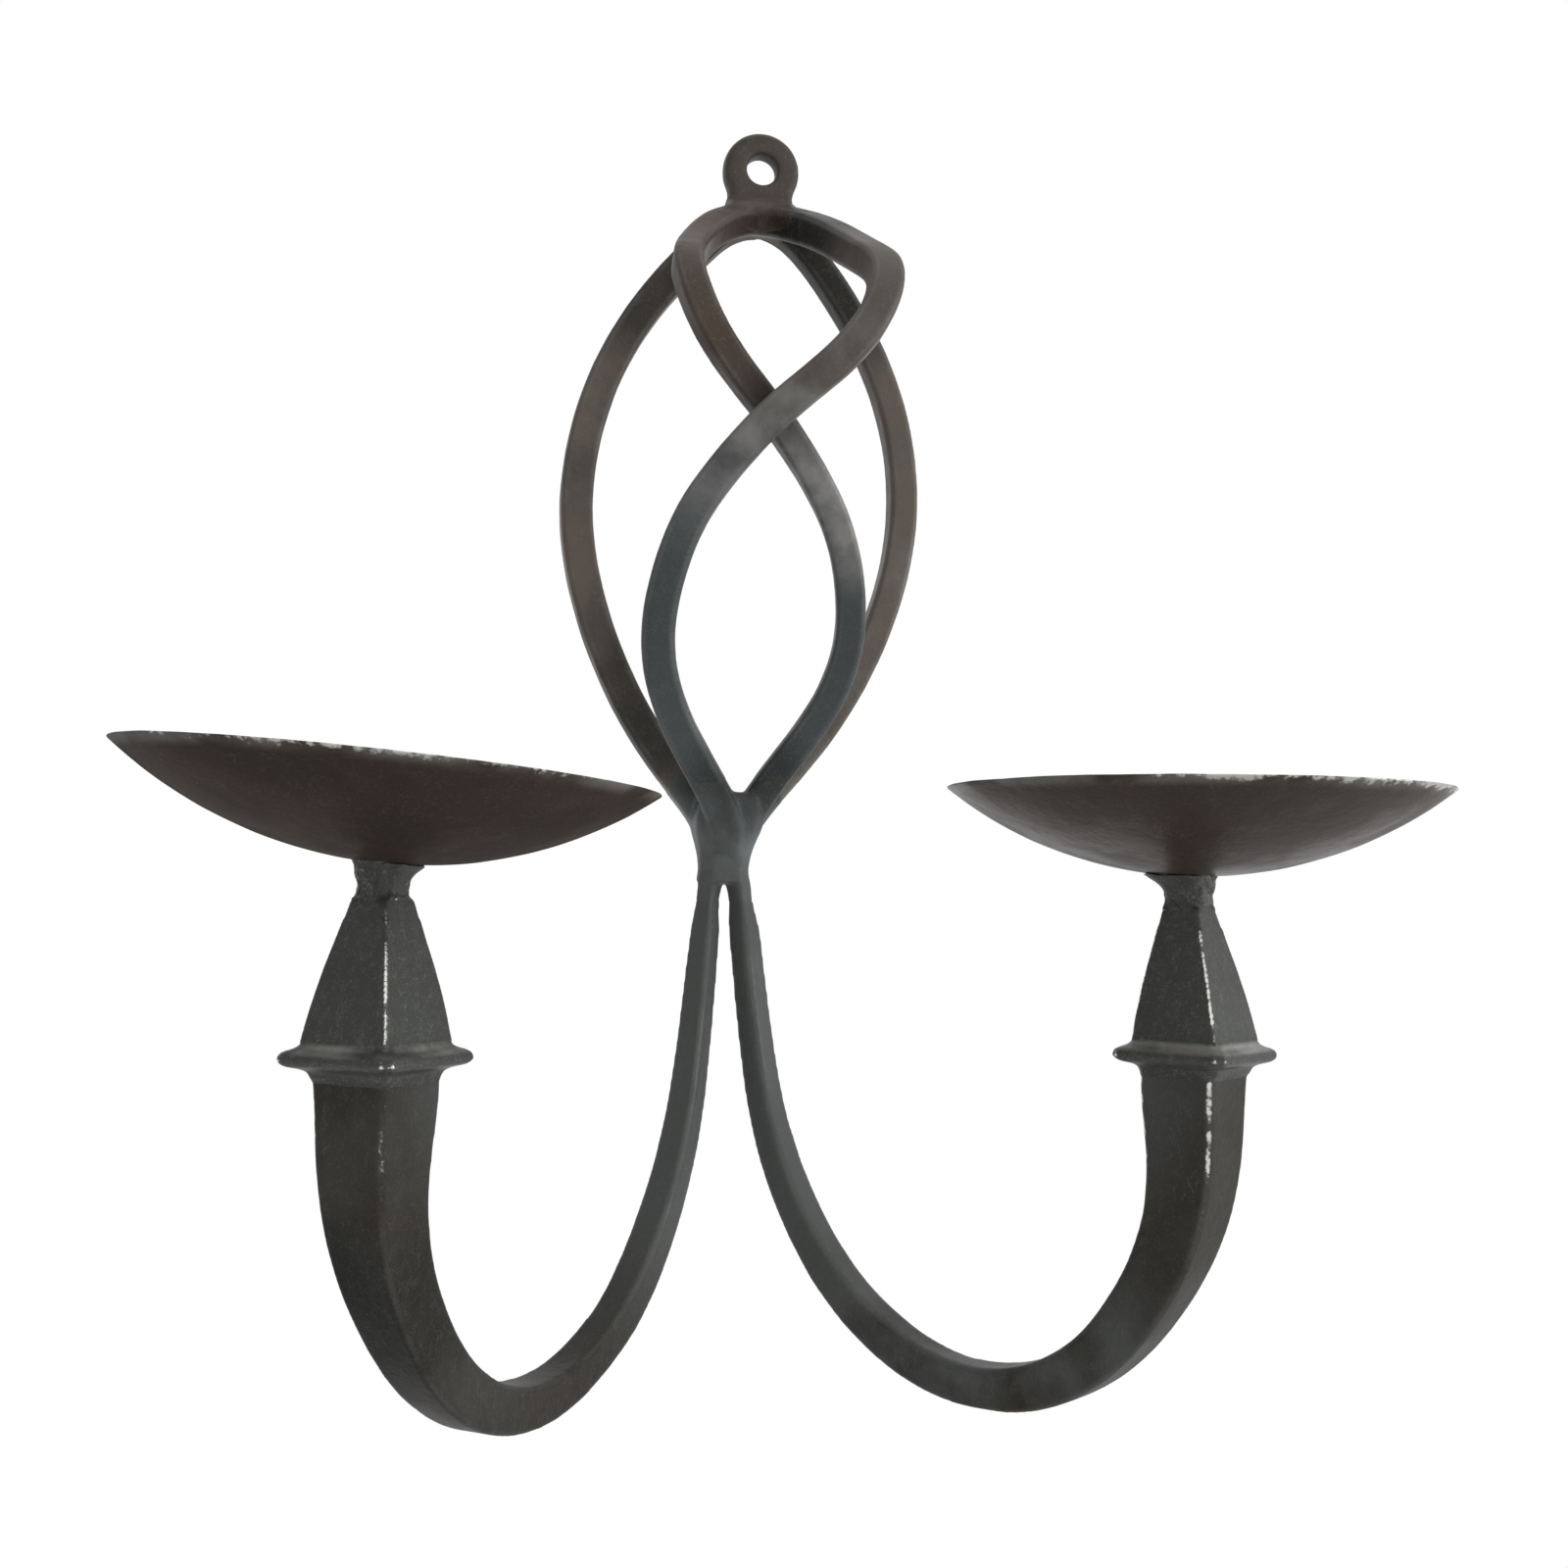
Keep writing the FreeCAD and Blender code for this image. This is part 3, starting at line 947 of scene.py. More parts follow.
class PieceKit:
    """What every sub-assembly builds from, and the way in which it adds a piece."""

    def __init__(self, frame: dict, groups: FinishGroups) -> None:
        """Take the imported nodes, their box and slots, and the shared effects.

        Args:
            frame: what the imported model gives.
            groups: the effects that the irons share.
        """
        self.frame = frame
        self.groups = groups
        self.low, self.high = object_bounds()
        self.slots = {row["node"]: row.get("material_slot") for row in frame["record"]["subparts"]}

    def node(self, name: str) -> bpy.types.Object:
        """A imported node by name."""
        return self.frame["nodes"][name]

    def add(
        self,
        name: str,
        bm: bmesh.types.BMesh,
        material: bpy.types.Material,
        sharp: float = 0.1,
        line: Sequence[Vector] | None = None,
    ) -> None:
        """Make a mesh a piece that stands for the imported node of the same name.

        Args:
            name: the node's name.
            bm: the mesh, which is freed.
            material: its finish.
            sharp: the bend at which a ridge counts in full.
            line: points along its ridges, where they are known.
        """
        for vert in bm.verts:
            limits = zip(vert.co, self.low, self.high)
            vert.co = [min(max(value, low), high) for value, low, high in limits]
        mesh = bpy.data.meshes.new(name)
        bm.normal_update()
        bm.to_mesh(mesh)
        bm.free()
        mesh.polygons.foreach_set("use_smooth", [True] * len(mesh.polygons))
        mesh.materials.append(material)
        mark_shape(mesh, sharp, line)
        piece = bpy.data.objects.new("forged_" + name, mesh)
        bpy.context.scene.collection.objects.link(piece)
        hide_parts(name)
        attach(piece, "root")
        LOG.info("%s: %d faces", piece.name, len(mesh.polygons))


@dataclass(frozen=True)
class KnotFit:
    """How bars and arms end inside the knot, and how the arms' inner legs leave it.

    The legs are cut at leg_cut, drawn up by leg_overlap and lean together there by leg_lean. Under the knot
    they stand apart by spread, from spread_foot up, but their outer sides come flush with the knot again at
    its foot. The knot itself narrows from taper_top to taper_foot: its sides by tuck, and its rear to where
    the legs' own lies.
    """

    gap_place: float = -7.3 * MM
    leg_reach: float = 42 * MM
    leg_cut: float = -182 * MM
    leg_overlap: float = 4 * MM
    leg_lean: float = 0.6 * MM
    leg_rear: float = -5.3 * MM
    spread: float = 0.5 * MM
    spread_foot: float = -198 * MM
    spread_top: float = -186 * MM
    flush_from: float = 2 * MM
    flush_out: float = 6 * MM
    flush_foot: float = -190 * MM
    flush_top: float = -181 * MM
    front_foot: float = -169 * MM
    rear_foot: float = -167 * MM
    taper_top: float = -168 * MM
    taper_foot: float = -178 * MM
    tuck: float = 0.3 * MM

    def arm(self, kit: PieceKit, side: Side) -> bmesh.types.BMesh:
        """A mesh like a packed arm's, with its inner leg drawn up into the knot and away from the other leg.

        Args:
            kit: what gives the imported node.
            side: the arm's side.

        Returns:
            The new mesh.
        """
        arm = merged_copy(kit.node(side.value + "_arm"))
        low, high = extent(arm)
        high.z = self.leg_cut
        keep_inside(arm, low - MARGIN, high + MARGIN)
        lengthen(arm, self.leg_overlap)
        top = self.leg_cut + self.leg_overlap
        out = 1.0 if side is Side.RIGHT else -1.0
        for vert in arm.verts:
            if abs(vert.co.x) < self.leg_reach:
                flush = eased(abs(vert.co.x - self.gap_place), self.flush_from, self.flush_out)
                flush *= eased(vert.co.z, self.flush_foot, self.flush_top)
                apart = self.spread * eased(vert.co.z, self.spread_foot, self.spread_top) * (1.0 - flush)
                vert.co.x += out * apart
                vert.co.x -= out * self.leg_lean * eased(vert.co.z, self.leg_cut, top)
        return arm

    def bar(self, kit: PieceKit, name: str, whole: bool = False) -> bmesh.types.BMesh:
        """A mesh like a packed bar's, cut off where its foot lies inside the knot.

        Args:
            kit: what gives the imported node.
            name: the bar's node.
            whole: whether a front bar keeps its foot.

        Returns:
            The new mesh.
        """
        bar = merged_copy(kit.node(name))
        low, high = extent(bar)
        rear = name.startswith("rear")
        if rear or not whole:
            low.z = self.rear_foot if rear else self.front_foot
            keep_inside(bar, low - MARGIN, high + MARGIN)
        return bar

    def narrow(self, lump: bmesh.types.BMesh) -> None:
        """Narrow a lump towards the knot's foot; what lies above the knot stays.

        Args:
            lump: the lump's mesh.
        """
        for vert in lump.verts:
            taper = eased(vert.co.z, self.taper_top, self.taper_foot)
            vert.co.y += taper * (min(vert.co.y, self.leg_rear) - vert.co.y)
            vert.co.x -= math.copysign(taper * self.tuck, vert.co.x - self.gap_place)


@dataclass
class Cage:
    """The eye, the bowed bars under it and the welds that hold them together."""

    knot: KnotFit = KnotFit()
    bars: tuple[str, ...] = ("rear_left_bar", "rear_right_bar", "front_over_bar", "front_under_bar")
    bar_grid: float = 0.42 * MM
    bar_passes: int = 6
    bar_foot_passes: int = 14
    bar_blows: Blows = Blows(7 * MM, 0.10 * MM, 0.10 * MM)
    eye_grid: float = 0.33 * MM
    eye_passes: int = 45
    eye_fill: float = 0.2 * MM
    eye_blows: Blows = Blows(5 * MM, 0.06 * MM, 0.05 * MM)
    eye_seed: float = 7.0
    eye_inset: float = 0.12 * MM
    top_junction: Junction = Junction(8 * MM, 0.40 * MM, 50, 0.45 * MM)
    foot_junction: Junction = Junction(15 * MM, 0.32 * MM, 32, 0.14 * MM)
    foot_trim: float = 2.0 * MM
    weld_blows: Blows = Blows(6 * MM, 0.10 * MM)
    weld_seed: float = 9.0

    def build(self, kit: PieceKit) -> None:
        """Build the cage's pieces.

        Args:
            kit: what the cage builds from.
        """
        finishes = self.finishes(kit.groups)
        for seed, name in enumerate(self.bars, 1):
            self.bar(kit, name, finishes[name], seed)
        self.eye(kit, finishes["hanging_eye"])
        joins = [merged_copy(kit.node(name)) for name in (*self.bars, "hanging_eye")]
        self.weld(kit, "top_weld", joins, finishes["top_weld"], self.top_junction)
        joins = [self.knot.bar(kit, name, whole=True) for name in self.bars]
        joins += [self.knot.arm(kit, side) for side in Side]
        self.weld(kit, "foot_weld", joins, finishes["foot_weld"], self.foot_junction, self.foot_trim)

    def finishes(self, groups: FinishGroups) -> dict[str, bpy.types.Material]:
        """The finish of each piece, by name.

        Args:
            groups: the effects that the irons share.

        Returns:
            The materials, by the piece's node.
        """
        # Painted shade between the front bars above the knot
        low_painted_shade = PaintedShade(mm(-6, -18, -152), 20 * MM, 0.6)
        finishes = {
            # Painted shade where its top lies behind the front bar's shoulder and where it passes behind the
            # front bar low down
            "rear_left_bar": IronFinish(
                "rear_left_iron", Tone.TAN, Tone.CHARCOAL, specular=0.06, wear=-0.2, bare=Tone.RUBBED_AND_SHEEN,
                mottle=0.6, knot_reach=42 * MM,
                painted_shades=(PaintedShade(mm(-25, -4, -33), 27 * MM, 0.6), PaintedShade(mm(-28, -4, -136), 24 * MM, 0.55)),
            ),
            # Painted shade where its top lies in the shade of the front bars, and a painted highlight on its
            # lower part
            "rear_right_bar": IronFinish(
                "rear_right_iron", Tone.TAN, Tone.LEAD, wear=-0.1, bare=Tone.RUBBED_AND_SHEEN, mottle=0.3, pale_band=0.7,
                pale_band_height=-130 * MM, pale_band_reach=50 * MM, painted_shades=(PaintedShade(mm(12, -6, -26), 34 * MM, 0.9),),
            ),
            # Painted sheen around the crossing, and painted shade on its underside near the top and above the
            # knot
            "front_over_bar": IronFinish(
                "front_bar_iron", Tone.WARM, Tone.SLATE, wear=0.1, bare=Tone.RUBBED_AND_SHEEN, handled=0.35,
                mottle=0.2, knot_reach=92 * MM, pale_band=0.8, pale_band_height=-78 * MM, pale_band_reach=30 * MM,
                painted_shades=(PaintedShade(mm(14, -16, -19), 25 * MM, 0.9), low_painted_shade),
            ),
            # Painted sheen below the crossing, and painted shade above the knot
            "front_under_bar": IronFinish(
                "under_bar_iron", Tone.RUSSET, Tone.SLATE, specular=0.07, wear=0.1, bare=Tone.RUBBED_AND_SHEEN,
                handled=0.3, mottle=0.2, knot_reach=92 * MM, pale_band=1.3, pale_band_height=-92 * MM,
                pale_band_reach=26 * MM, painted_shades=(low_painted_shade,),
            ),
            "hanging_eye": IronFinish("eye_iron", Tone.UMBER, Tone.WARM, wear=0.2, bare=Tone.RUBBED_AND_SHEEN),
            # Painted shade on the underside of its right end, where the front bar's shaded underside begins
            "top_weld": IronFinish(
                "top_weld_iron", Tone.RUSSET, Tone.UMBER, wear=0.1, bare=Tone.RUBBED_AND_SHEEN,
                painted_shades=(PaintedShade(mm(10, -13, -18), 11 * MM, 0.9),),
            ),
            # Painted highlight in steel grey around the knot, and painted shade above it
            "foot_weld": IronFinish(
                "knot_iron", Tone.LEAD, Tone.LEAD, wear=0.1, bare=Tone.RUBBED_AND_SHEEN, pale_band=2.0,
                pale_band_tone=Tone.STEEL, pale_band_height=-166 * MM, pale_band_reach=11.5 * MM,
                painted_shades=(PaintedShade(mm(-6, -16, -152), 20 * MM, 0.65),),
            ),
        }
        return {name: finish.material(groups) for name, finish in finishes.items()}

    def bar(self, kit: PieceKit, name: str, material: bpy.types.Material, seed: float) -> None:
        """Bowed bar, soft at its foot where it enters the knot.

        Args:
            kit: what the cage builds from.
            name: the bar's node.
            material: its finish.
            seed: sets its hammer marks apart from the other bars'.
        """
        bar = self.knot.bar(kit, name)
        line = corner_line(bar)
        bar = skinned(bar, self.bar_grid)
        relax(bar, self.bar_passes)
        soft_top = self.knot.front_foot + self.foot_junction.stub
        relax(bar, self.bar_foot_passes, lambda place: place.z < soft_top)
        press(bar, self.bar_blows.surface(seed))
        kit.add(name, bar, material, line=line)

    def eye(self, kit: PieceKit, material: bpy.types.Material) -> None:
        """Hanging eye, rounded all over and a little off the wall.

        Args:
            kit: what the cage builds from.
            material: its finish.
        """
        eye = skinned(merged_copy(kit.node("hanging_eye")), self.eye_grid)
        relax(eye, self.eye_passes)
        press(eye, lambda place: self.eye_fill)
        press(eye, self.eye_blows.surface(self.eye_seed))
        for vert in eye.verts:
            vert.co.y = min(vert.co.y, -self.eye_inset)
        kit.add("hanging_eye", eye, material)

    def weld(
        self,
        kit: PieceKit,
        name: str,
        joins: Sequence[bmesh.types.BMesh],
        material: bpy.types.Material,
        junction: Junction,
        trim: float = 0.0,
    ) -> None:
        """Weld that runs smoothly out over the pieces it joins.

        Args:
            kit: what the cage builds from.
            name: the weld's node.
            joins: the pieces that it joins, which are freed.
            material: its finish.
            junction: how it runs out over them.
            trim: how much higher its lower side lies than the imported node's.
        """
        own = merged_copy(kit.node(name))
        low, high = extent(own)
        share = 1.0 - trim / (high.z - low.z)
        top = Matrix.Translation(-UP * high.z)
        bmesh.ops.scale(own, vec=(1.0, 1.0, share), space=top, verts=own.verts)
        self.knot.narrow(own)
        lump = junction.skin(own, joins)
        press(lump, self.weld_blows.surface(self.weld_seed))
        kit.add(name, lump, material)


@dataclass
class CandleArm:
    """A drawn arm with its collar, pyramid block and the weld under the dish."""

    side: Side
    knot: KnotFit = KnotFit()
    arm_top: float = -182.5 * MM
    arm_grid: float = 0.46 * MM
    arm_gather: float = 2.2 * MM
    arm_passes: int = 4
    leg_passes: int = 8
    leg_fill: float = 0.5 * MM
    leg_fade: float = 14 * MM
    leg_full: float = -192 * MM
    arm_blows: Blows = Blows(9 * MM, 0.12 * MM, 0.16 * MM)
    overlap: float = 3 * MM
    end_slack: float = 0.3 * MM
    block_grid: float = 0.30 * MM
    block_passes: int = 1
    block_blows: Blows = Blows(5 * MM, 0.05 * MM, 0.08 * MM)
    shoulder: float = 4 * MM
    ridge_end: float = 2 * MM
    neck_passes: int = 30
    collar_junction: Junction = Junction(3.2 * MM, 0.30 * MM, 6, 0.05 * MM)
    collar_blows: Blows = Blows(4 * MM, 0.05 * MM, 0.05 * MM)
    # Depth of the pale band along the collar's top edge, then how far under the collar the painted shade is
    # centred and how far it reaches
    collar_pale_band: float = 1.3 * MM
    collar_shade_drop: float = 12 * MM
    collar_shade_reach: float = 19 * MM
    bead_junction: Junction = Junction(3.2 * MM, 0.30 * MM, 18, 0.15 * MM, 0.9 * MM)
    bead_growth: tuple[float, float, float] = (1.08, 1.08, 1.14)
    bead_sharp: float = 0.16
    bead_height: float = 0.45 * MM
    bead_lumps_per_m: float = 380.0
    bead_octaves: int = 3
    bead_level: float = 0.75
    # A paler band in lead grey near the arm's foot, and how far above the foot it lies
    low_pale_band: float = 0.0
    low_pale_band_lift: float = 12 * MM
    # Patches of painted shade on the arm
    painted_shades: tuple[PaintedShade, ...] = ()
    seed: float = 11.0

    def name(self, end: str) -> str:
        """The name of one of this side's nodes."""
        return f"{self.side.value}_{end}"

    def build(self, kit: PieceKit) -> None:
        """Build the arm's pieces.

        Args:
            kit: what the arm builds from.
        """
        self.arm(kit)
        self.block(kit)
        self.collar(kit)
        self.bead(kit)

    def arm(self, kit: PieceKit) -> None:
        """The arm, from inside the knot up into its collar.

        Args:
            kit: what the arm builds from.
        """
        low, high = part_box(self.name("collar"))
        half = self.knot.arm(kit, self.side)
        bottom, top = extent(half)
        top.z = self.arm_top
        keep_inside(half, bottom - MARGIN, top + MARGIN)
        line = corner_line(half, self.arm_gather)
        self.into_collar(half, low.z)
        arm = skinned(half, self.arm_grid)
        relax(arm, self.arm_passes)
        relax(arm, self.leg_passes, lambda place: abs(place.x) < self.knot.leg_reach)
        press(arm, self.fuller_leg)
        press(arm, self.arm_blows.surface(self.seed))
        # Finish with the arm's patches of painted shade and its paler band low down
        iron = IronFinish(
            self.name("arm_iron"), Tone.SOOT, Tone.LEAD, wear=0.52, wear_far=-0.4,
            wear_place=tuple((low + high) / 2), wear_reach=50 * MM, handled=0.15, mottle=0.3,
            knot_reach=105 * MM, specular=0.05, speckle=0.14, grains_per_m=2200.0, pale_band=self.low_pale_band,
            pale_band_height=bottom.z + self.low_pale_band_lift, pale_band_reach=26 * MM, pale_band_tone=Tone.LEAD, painted_shades=self.painted_shades,
        )
        kit.add(self.name("arm"), arm, iron.material(kit.groups), line=line)

    def fuller_leg(self, place: Vector) -> float:
        """How far the inner leg stands out: in full below the knot, and not at all at the outer bend."""
        inner = 1.0 - eased(abs(place.x), self.knot.leg_reach - self.leg_fade, self.knot.leg_reach)
        return self.leg_fill * inner * (1.0 - eased(place.z, self.leg_full, self.arm_top))

    def into_collar(self, arm: bmesh.types.BMesh, collar_foot: float) -> None:
        """Draw the arm's outer end up into its collar.

        Args:
            arm: the arm's mesh, whose inner leg ends in a cap higher up.
            collar_foot: the height of the collar's lower side.
        """
        close = {
            vert for vert in arm.verts
            if abs(vert.co.z - collar_foot) < self.end_slack and abs(vert.co.x) > self.knot.leg_reach
        }
        draw_out(arm, [face for face in arm.faces if all(vert in close for vert in face.verts)], self.overlap)

    def block(self, kit: PieceKit) -> None:
        """The pyramid block, drawn down into the collar and up into the weld under the dish.

        Args:
            kit: what the arm builds from.
        """
        finish = IronFinish(
            self.name("block_iron"), Tone.CHARCOAL, Tone.UMBER, wear=0.68, dust=0.5, speckle=0.4, mottle=0.3,
            grains_per_m=2600.0,
        )
        material = finish.material(kit.groups)
        pyramid = merged_copy(kit.node(self.name("pyramid")))
        shoulder = extent(pyramid)[1].z - self.shoulder
        line = [spot for spot in corner_line(pyramid) if spot.z < shoulder + self.ridge_end]
        lengthen(pyramid, -self.overlap)
        neck = merged_copy(kit.node(self.name("neck_weld")))
        pyramid = skinned(joined([pyramid, neck]), self.block_grid)
        relax(pyramid, self.block_passes)
        relax(pyramid, self.neck_passes, lambda place: place.z > shoulder)
        press(pyramid, self.block_blows.surface(self.seed + 1.0))
        kit.add(self.name("pyramid"), pyramid, material, line=line)

    def collar(self, kit: PieceKit) -> None:
        """The collar, run out over the arm and the block, with a pale band along the top of its edge and
        painted shade on its underside.

        Args:
            kit: what the arm builds from.
        """
        low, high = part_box(self.name("collar"))
        ends = [merged_copy(kit.node(self.name(end))) for end in ("pyramid", "arm")]
        collar = self.collar_junction.skin(merged_copy(kit.node(self.name("collar"))), ends)
        press(collar, self.collar_blows.surface(self.seed + 2.0))
        # Painted shade on the collar's underside, where it meets the arm
        under = on_axis(low, high, low.z - self.collar_shade_drop)
        finish = IronFinish(
            self.name("collar_iron"), Tone.CHARCOAL, Tone.UMBER, wear=0.5, dust=0.6, speckle=0.5,
            grains_per_m=2600.0, pale_band=0.9, pale_band_tone=Tone.DUST, pale_band_height=high.z - self.collar_pale_band,
            pale_band_reach=self.collar_pale_band, painted_shades=(PaintedShade(tuple(under), self.collar_shade_reach, 0.8),),
        )
        kit.add(self.name("collar"), collar, finish.material(kit.groups))

    def bead(self, kit: PieceKit) -> None:
        """Rough weld between the block's neck and the dish.

        Args:
            kit: what the arm builds from.
        """
        own = merged_copy(kit.node(self.name("neck_weld")))
        low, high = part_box(self.name("neck_weld"))
        foot = Matrix.Translation(-on_axis(low, high, low.z))
        bmesh.ops.scale(own, vec=self.bead_growth, space=foot, verts=own.verts)
        bead = self.bead_junction.skin(own, [merged_copy(kit.node(self.name("pyramid")))])
        press(bead, self.lumpy)
        finish = IronFinish(
            self.name("bead_iron"), Tone.CHARCOAL, Tone.SOOT, roughness=0.38, wear=0.6, speckle=0.7,
            grains_per_m=1900.0,
        )
        kit.add(self.name("neck_weld"), bead, finish.material(kit.groups), self.bead_sharp)

    def lumpy(self, place: Vector) -> float:
        """How far the bead stands out or in at a place."""
        lumps = noise.turbulence(place * self.bead_lumps_per_m, self.bead_octaves, False)
        return self.bead_height * (lumps - self.bead_level)


@dataclass
class CandleDish:
    """A dish raised from sheet, with the short spike that holds the candle."""

    side: Side
    tilt_deg: float = 0.0
    over_collar: float = 38.9 * MM
    width: float = 100 * MM
    depth: float = 17.5 * MM
    sheet: float = 1.8 * MM
    rim_sheet: float = 0.6 * MM
    rim_round: float = 0.35 * MM
    rim_shares: tuple[float, ...] = (0.18, 0.5, 0.82)
    thinning: int = 4
    turns: int = 240
    rings: int = 44
    blows: Blows = Blows(8 * MM, 0.10 * MM, 0.12 * MM)
    seed: float = 31.0
    sheen: float = 0.0
    wear: float = 0.5
    wear_loss: float = 0.45
    wear_place: tuple[float, ...] = mm(0, -48, 18)
    spike_height: float = 15.5 * MM
    spike_sink: float = 0.4 * MM
    spike_turns: int = 32
    spike_sharp: float = 0.4
    spike_mm: tuple[tuple[float, float], ...] = (
        (3.3, 0.0), (3.1, 0.5), (2.6, 0.95), (2.15, 1.5), (1.9, 2.2),
        (1.55, 5.5), (1.05, 10.0), (0.62, 14.2), (0.3, 15.3),
    )

    def build(self, kit: PieceKit) -> None:
        """Build the dish and its spike.

        Args:
            kit: what the dish builds from.
        """
        word = self.side.value
        low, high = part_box(word + "_collar")
        foot = on_axis(low, high, low.z + self.over_collar)
        stand = Matrix.Translation(foot) @ Matrix.Rotation(math.radians(self.tilt_deg), 4, "Y")
        finish = IronFinish(
            word + "_dish_iron", Tone.MAROON, Tone.SOOT, roughness=0.36, metallic=0.12, specular=self.sheen,
            wear=self.wear, wear_far=self.wear - self.wear_loss, wear_reach=58 * MM, handled=0.5,
            bare=Tone.DUST, dust=0.0, speckle=0.08, wear_place=tuple(foot + Vector(self.wear_place)),
        )
        material = finish.material(kit.groups)
        dish = self.bowl()
        press(dish, self.blows.surface(self.seed))
        bmesh.ops.transform(dish, matrix=stand, verts=dish.verts)
        kit.add(word + "_dish", dish, material, line=corner_line(dish))
        spike = self.spike()
        bmesh.ops.transform(spike, matrix=stand, verts=spike.verts)
        kit.add(word + "_pricket", spike, material, self.spike_sharp)

    @staticmethod
    def spun(outline: Sequence[tuple[float, float]], turns: int) -> bmesh.types.BMesh:
        """Spin an outline about the candle's axis.

        Args:
            outline: distances from the axis and heights, from the axis and back to it.
            turns: the number of steps round.

        Returns:
            The closed mesh.
        """
        bm = bmesh.new()
        verts = [bm.verts.new((out, 0.0, up)) for out, up in outline]
        edges = [bm.edges.new(pair) for pair in zip(verts, verts[1:])]
        bmesh.ops.spin(
            bm, geom=verts + edges, cent=(0, 0, 0), axis=(0, 0, 1), angle=math.tau, steps=turns,
            use_merge=True,
        )
        bmesh.ops.remove_doubles(bm, verts=bm.verts, dist=CUT_SLACK)
        bmesh.ops.recalc_face_normals(bm, faces=bm.faces)
        return bm

    def bowl(self) -> bmesh.types.BMesh:
        """Cap of a sphere in sheet that thins towards a soft rim.

        Returns:
            The mesh, with its foot at the origin.
        """
        half = self.width / 2
        radius = (half**2 + self.depth**2) / (2 * self.depth)
        rim = math.asin(half / radius)
        edge = rim - self.rim_round / radius
        outline = []
        for step in range(self.rings + 1):
            angle = edge * step / self.rings
            outline.append((radius * math.sin(angle), radius * (1 - math.cos(angle))))
        for share in self.rim_shares:
            across = radius - self.rim_sheet * share
            lift = self.rim_round * (1 - (2 * share - 1) ** 2) ** 0.5
            angle = rim - (self.rim_round - lift) / radius
            outline.append((across * math.sin(angle), radius - across * math.cos(angle)))
        for step in range(self.rings, -1, -1):
            angle = edge * step / self.rings
            inner = radius - self.sheet - (self.rim_sheet - self.sheet) * (step / self.rings) ** self.thinning
            outline.append((inner * math.sin(angle), radius - inner * math.cos(angle)))
        return self.spun(outline, self.turns)

    def spike(self) -> bmesh.types.BMesh:
        """Spike on a small bead of weld.

        Returns:
            The mesh, standing on the sheet.
        """
        side = [mm(*point) for point in self.spike_mm]
        bm = self.spun([(0.0, -self.spike_sink), *side, (0.0, self.spike_height)], self.spike_turns)
        bmesh.ops.translate(bm, vec=UP * self.sheet, verts=bm.verts)
        return bm


# The studio


@dataclass(frozen=True)
class Lamp:
    """A soft lamp: where it stands, how large it is and how strong."""

    name: str
    place: tuple[float, float, float]
    size: float
    watts: float


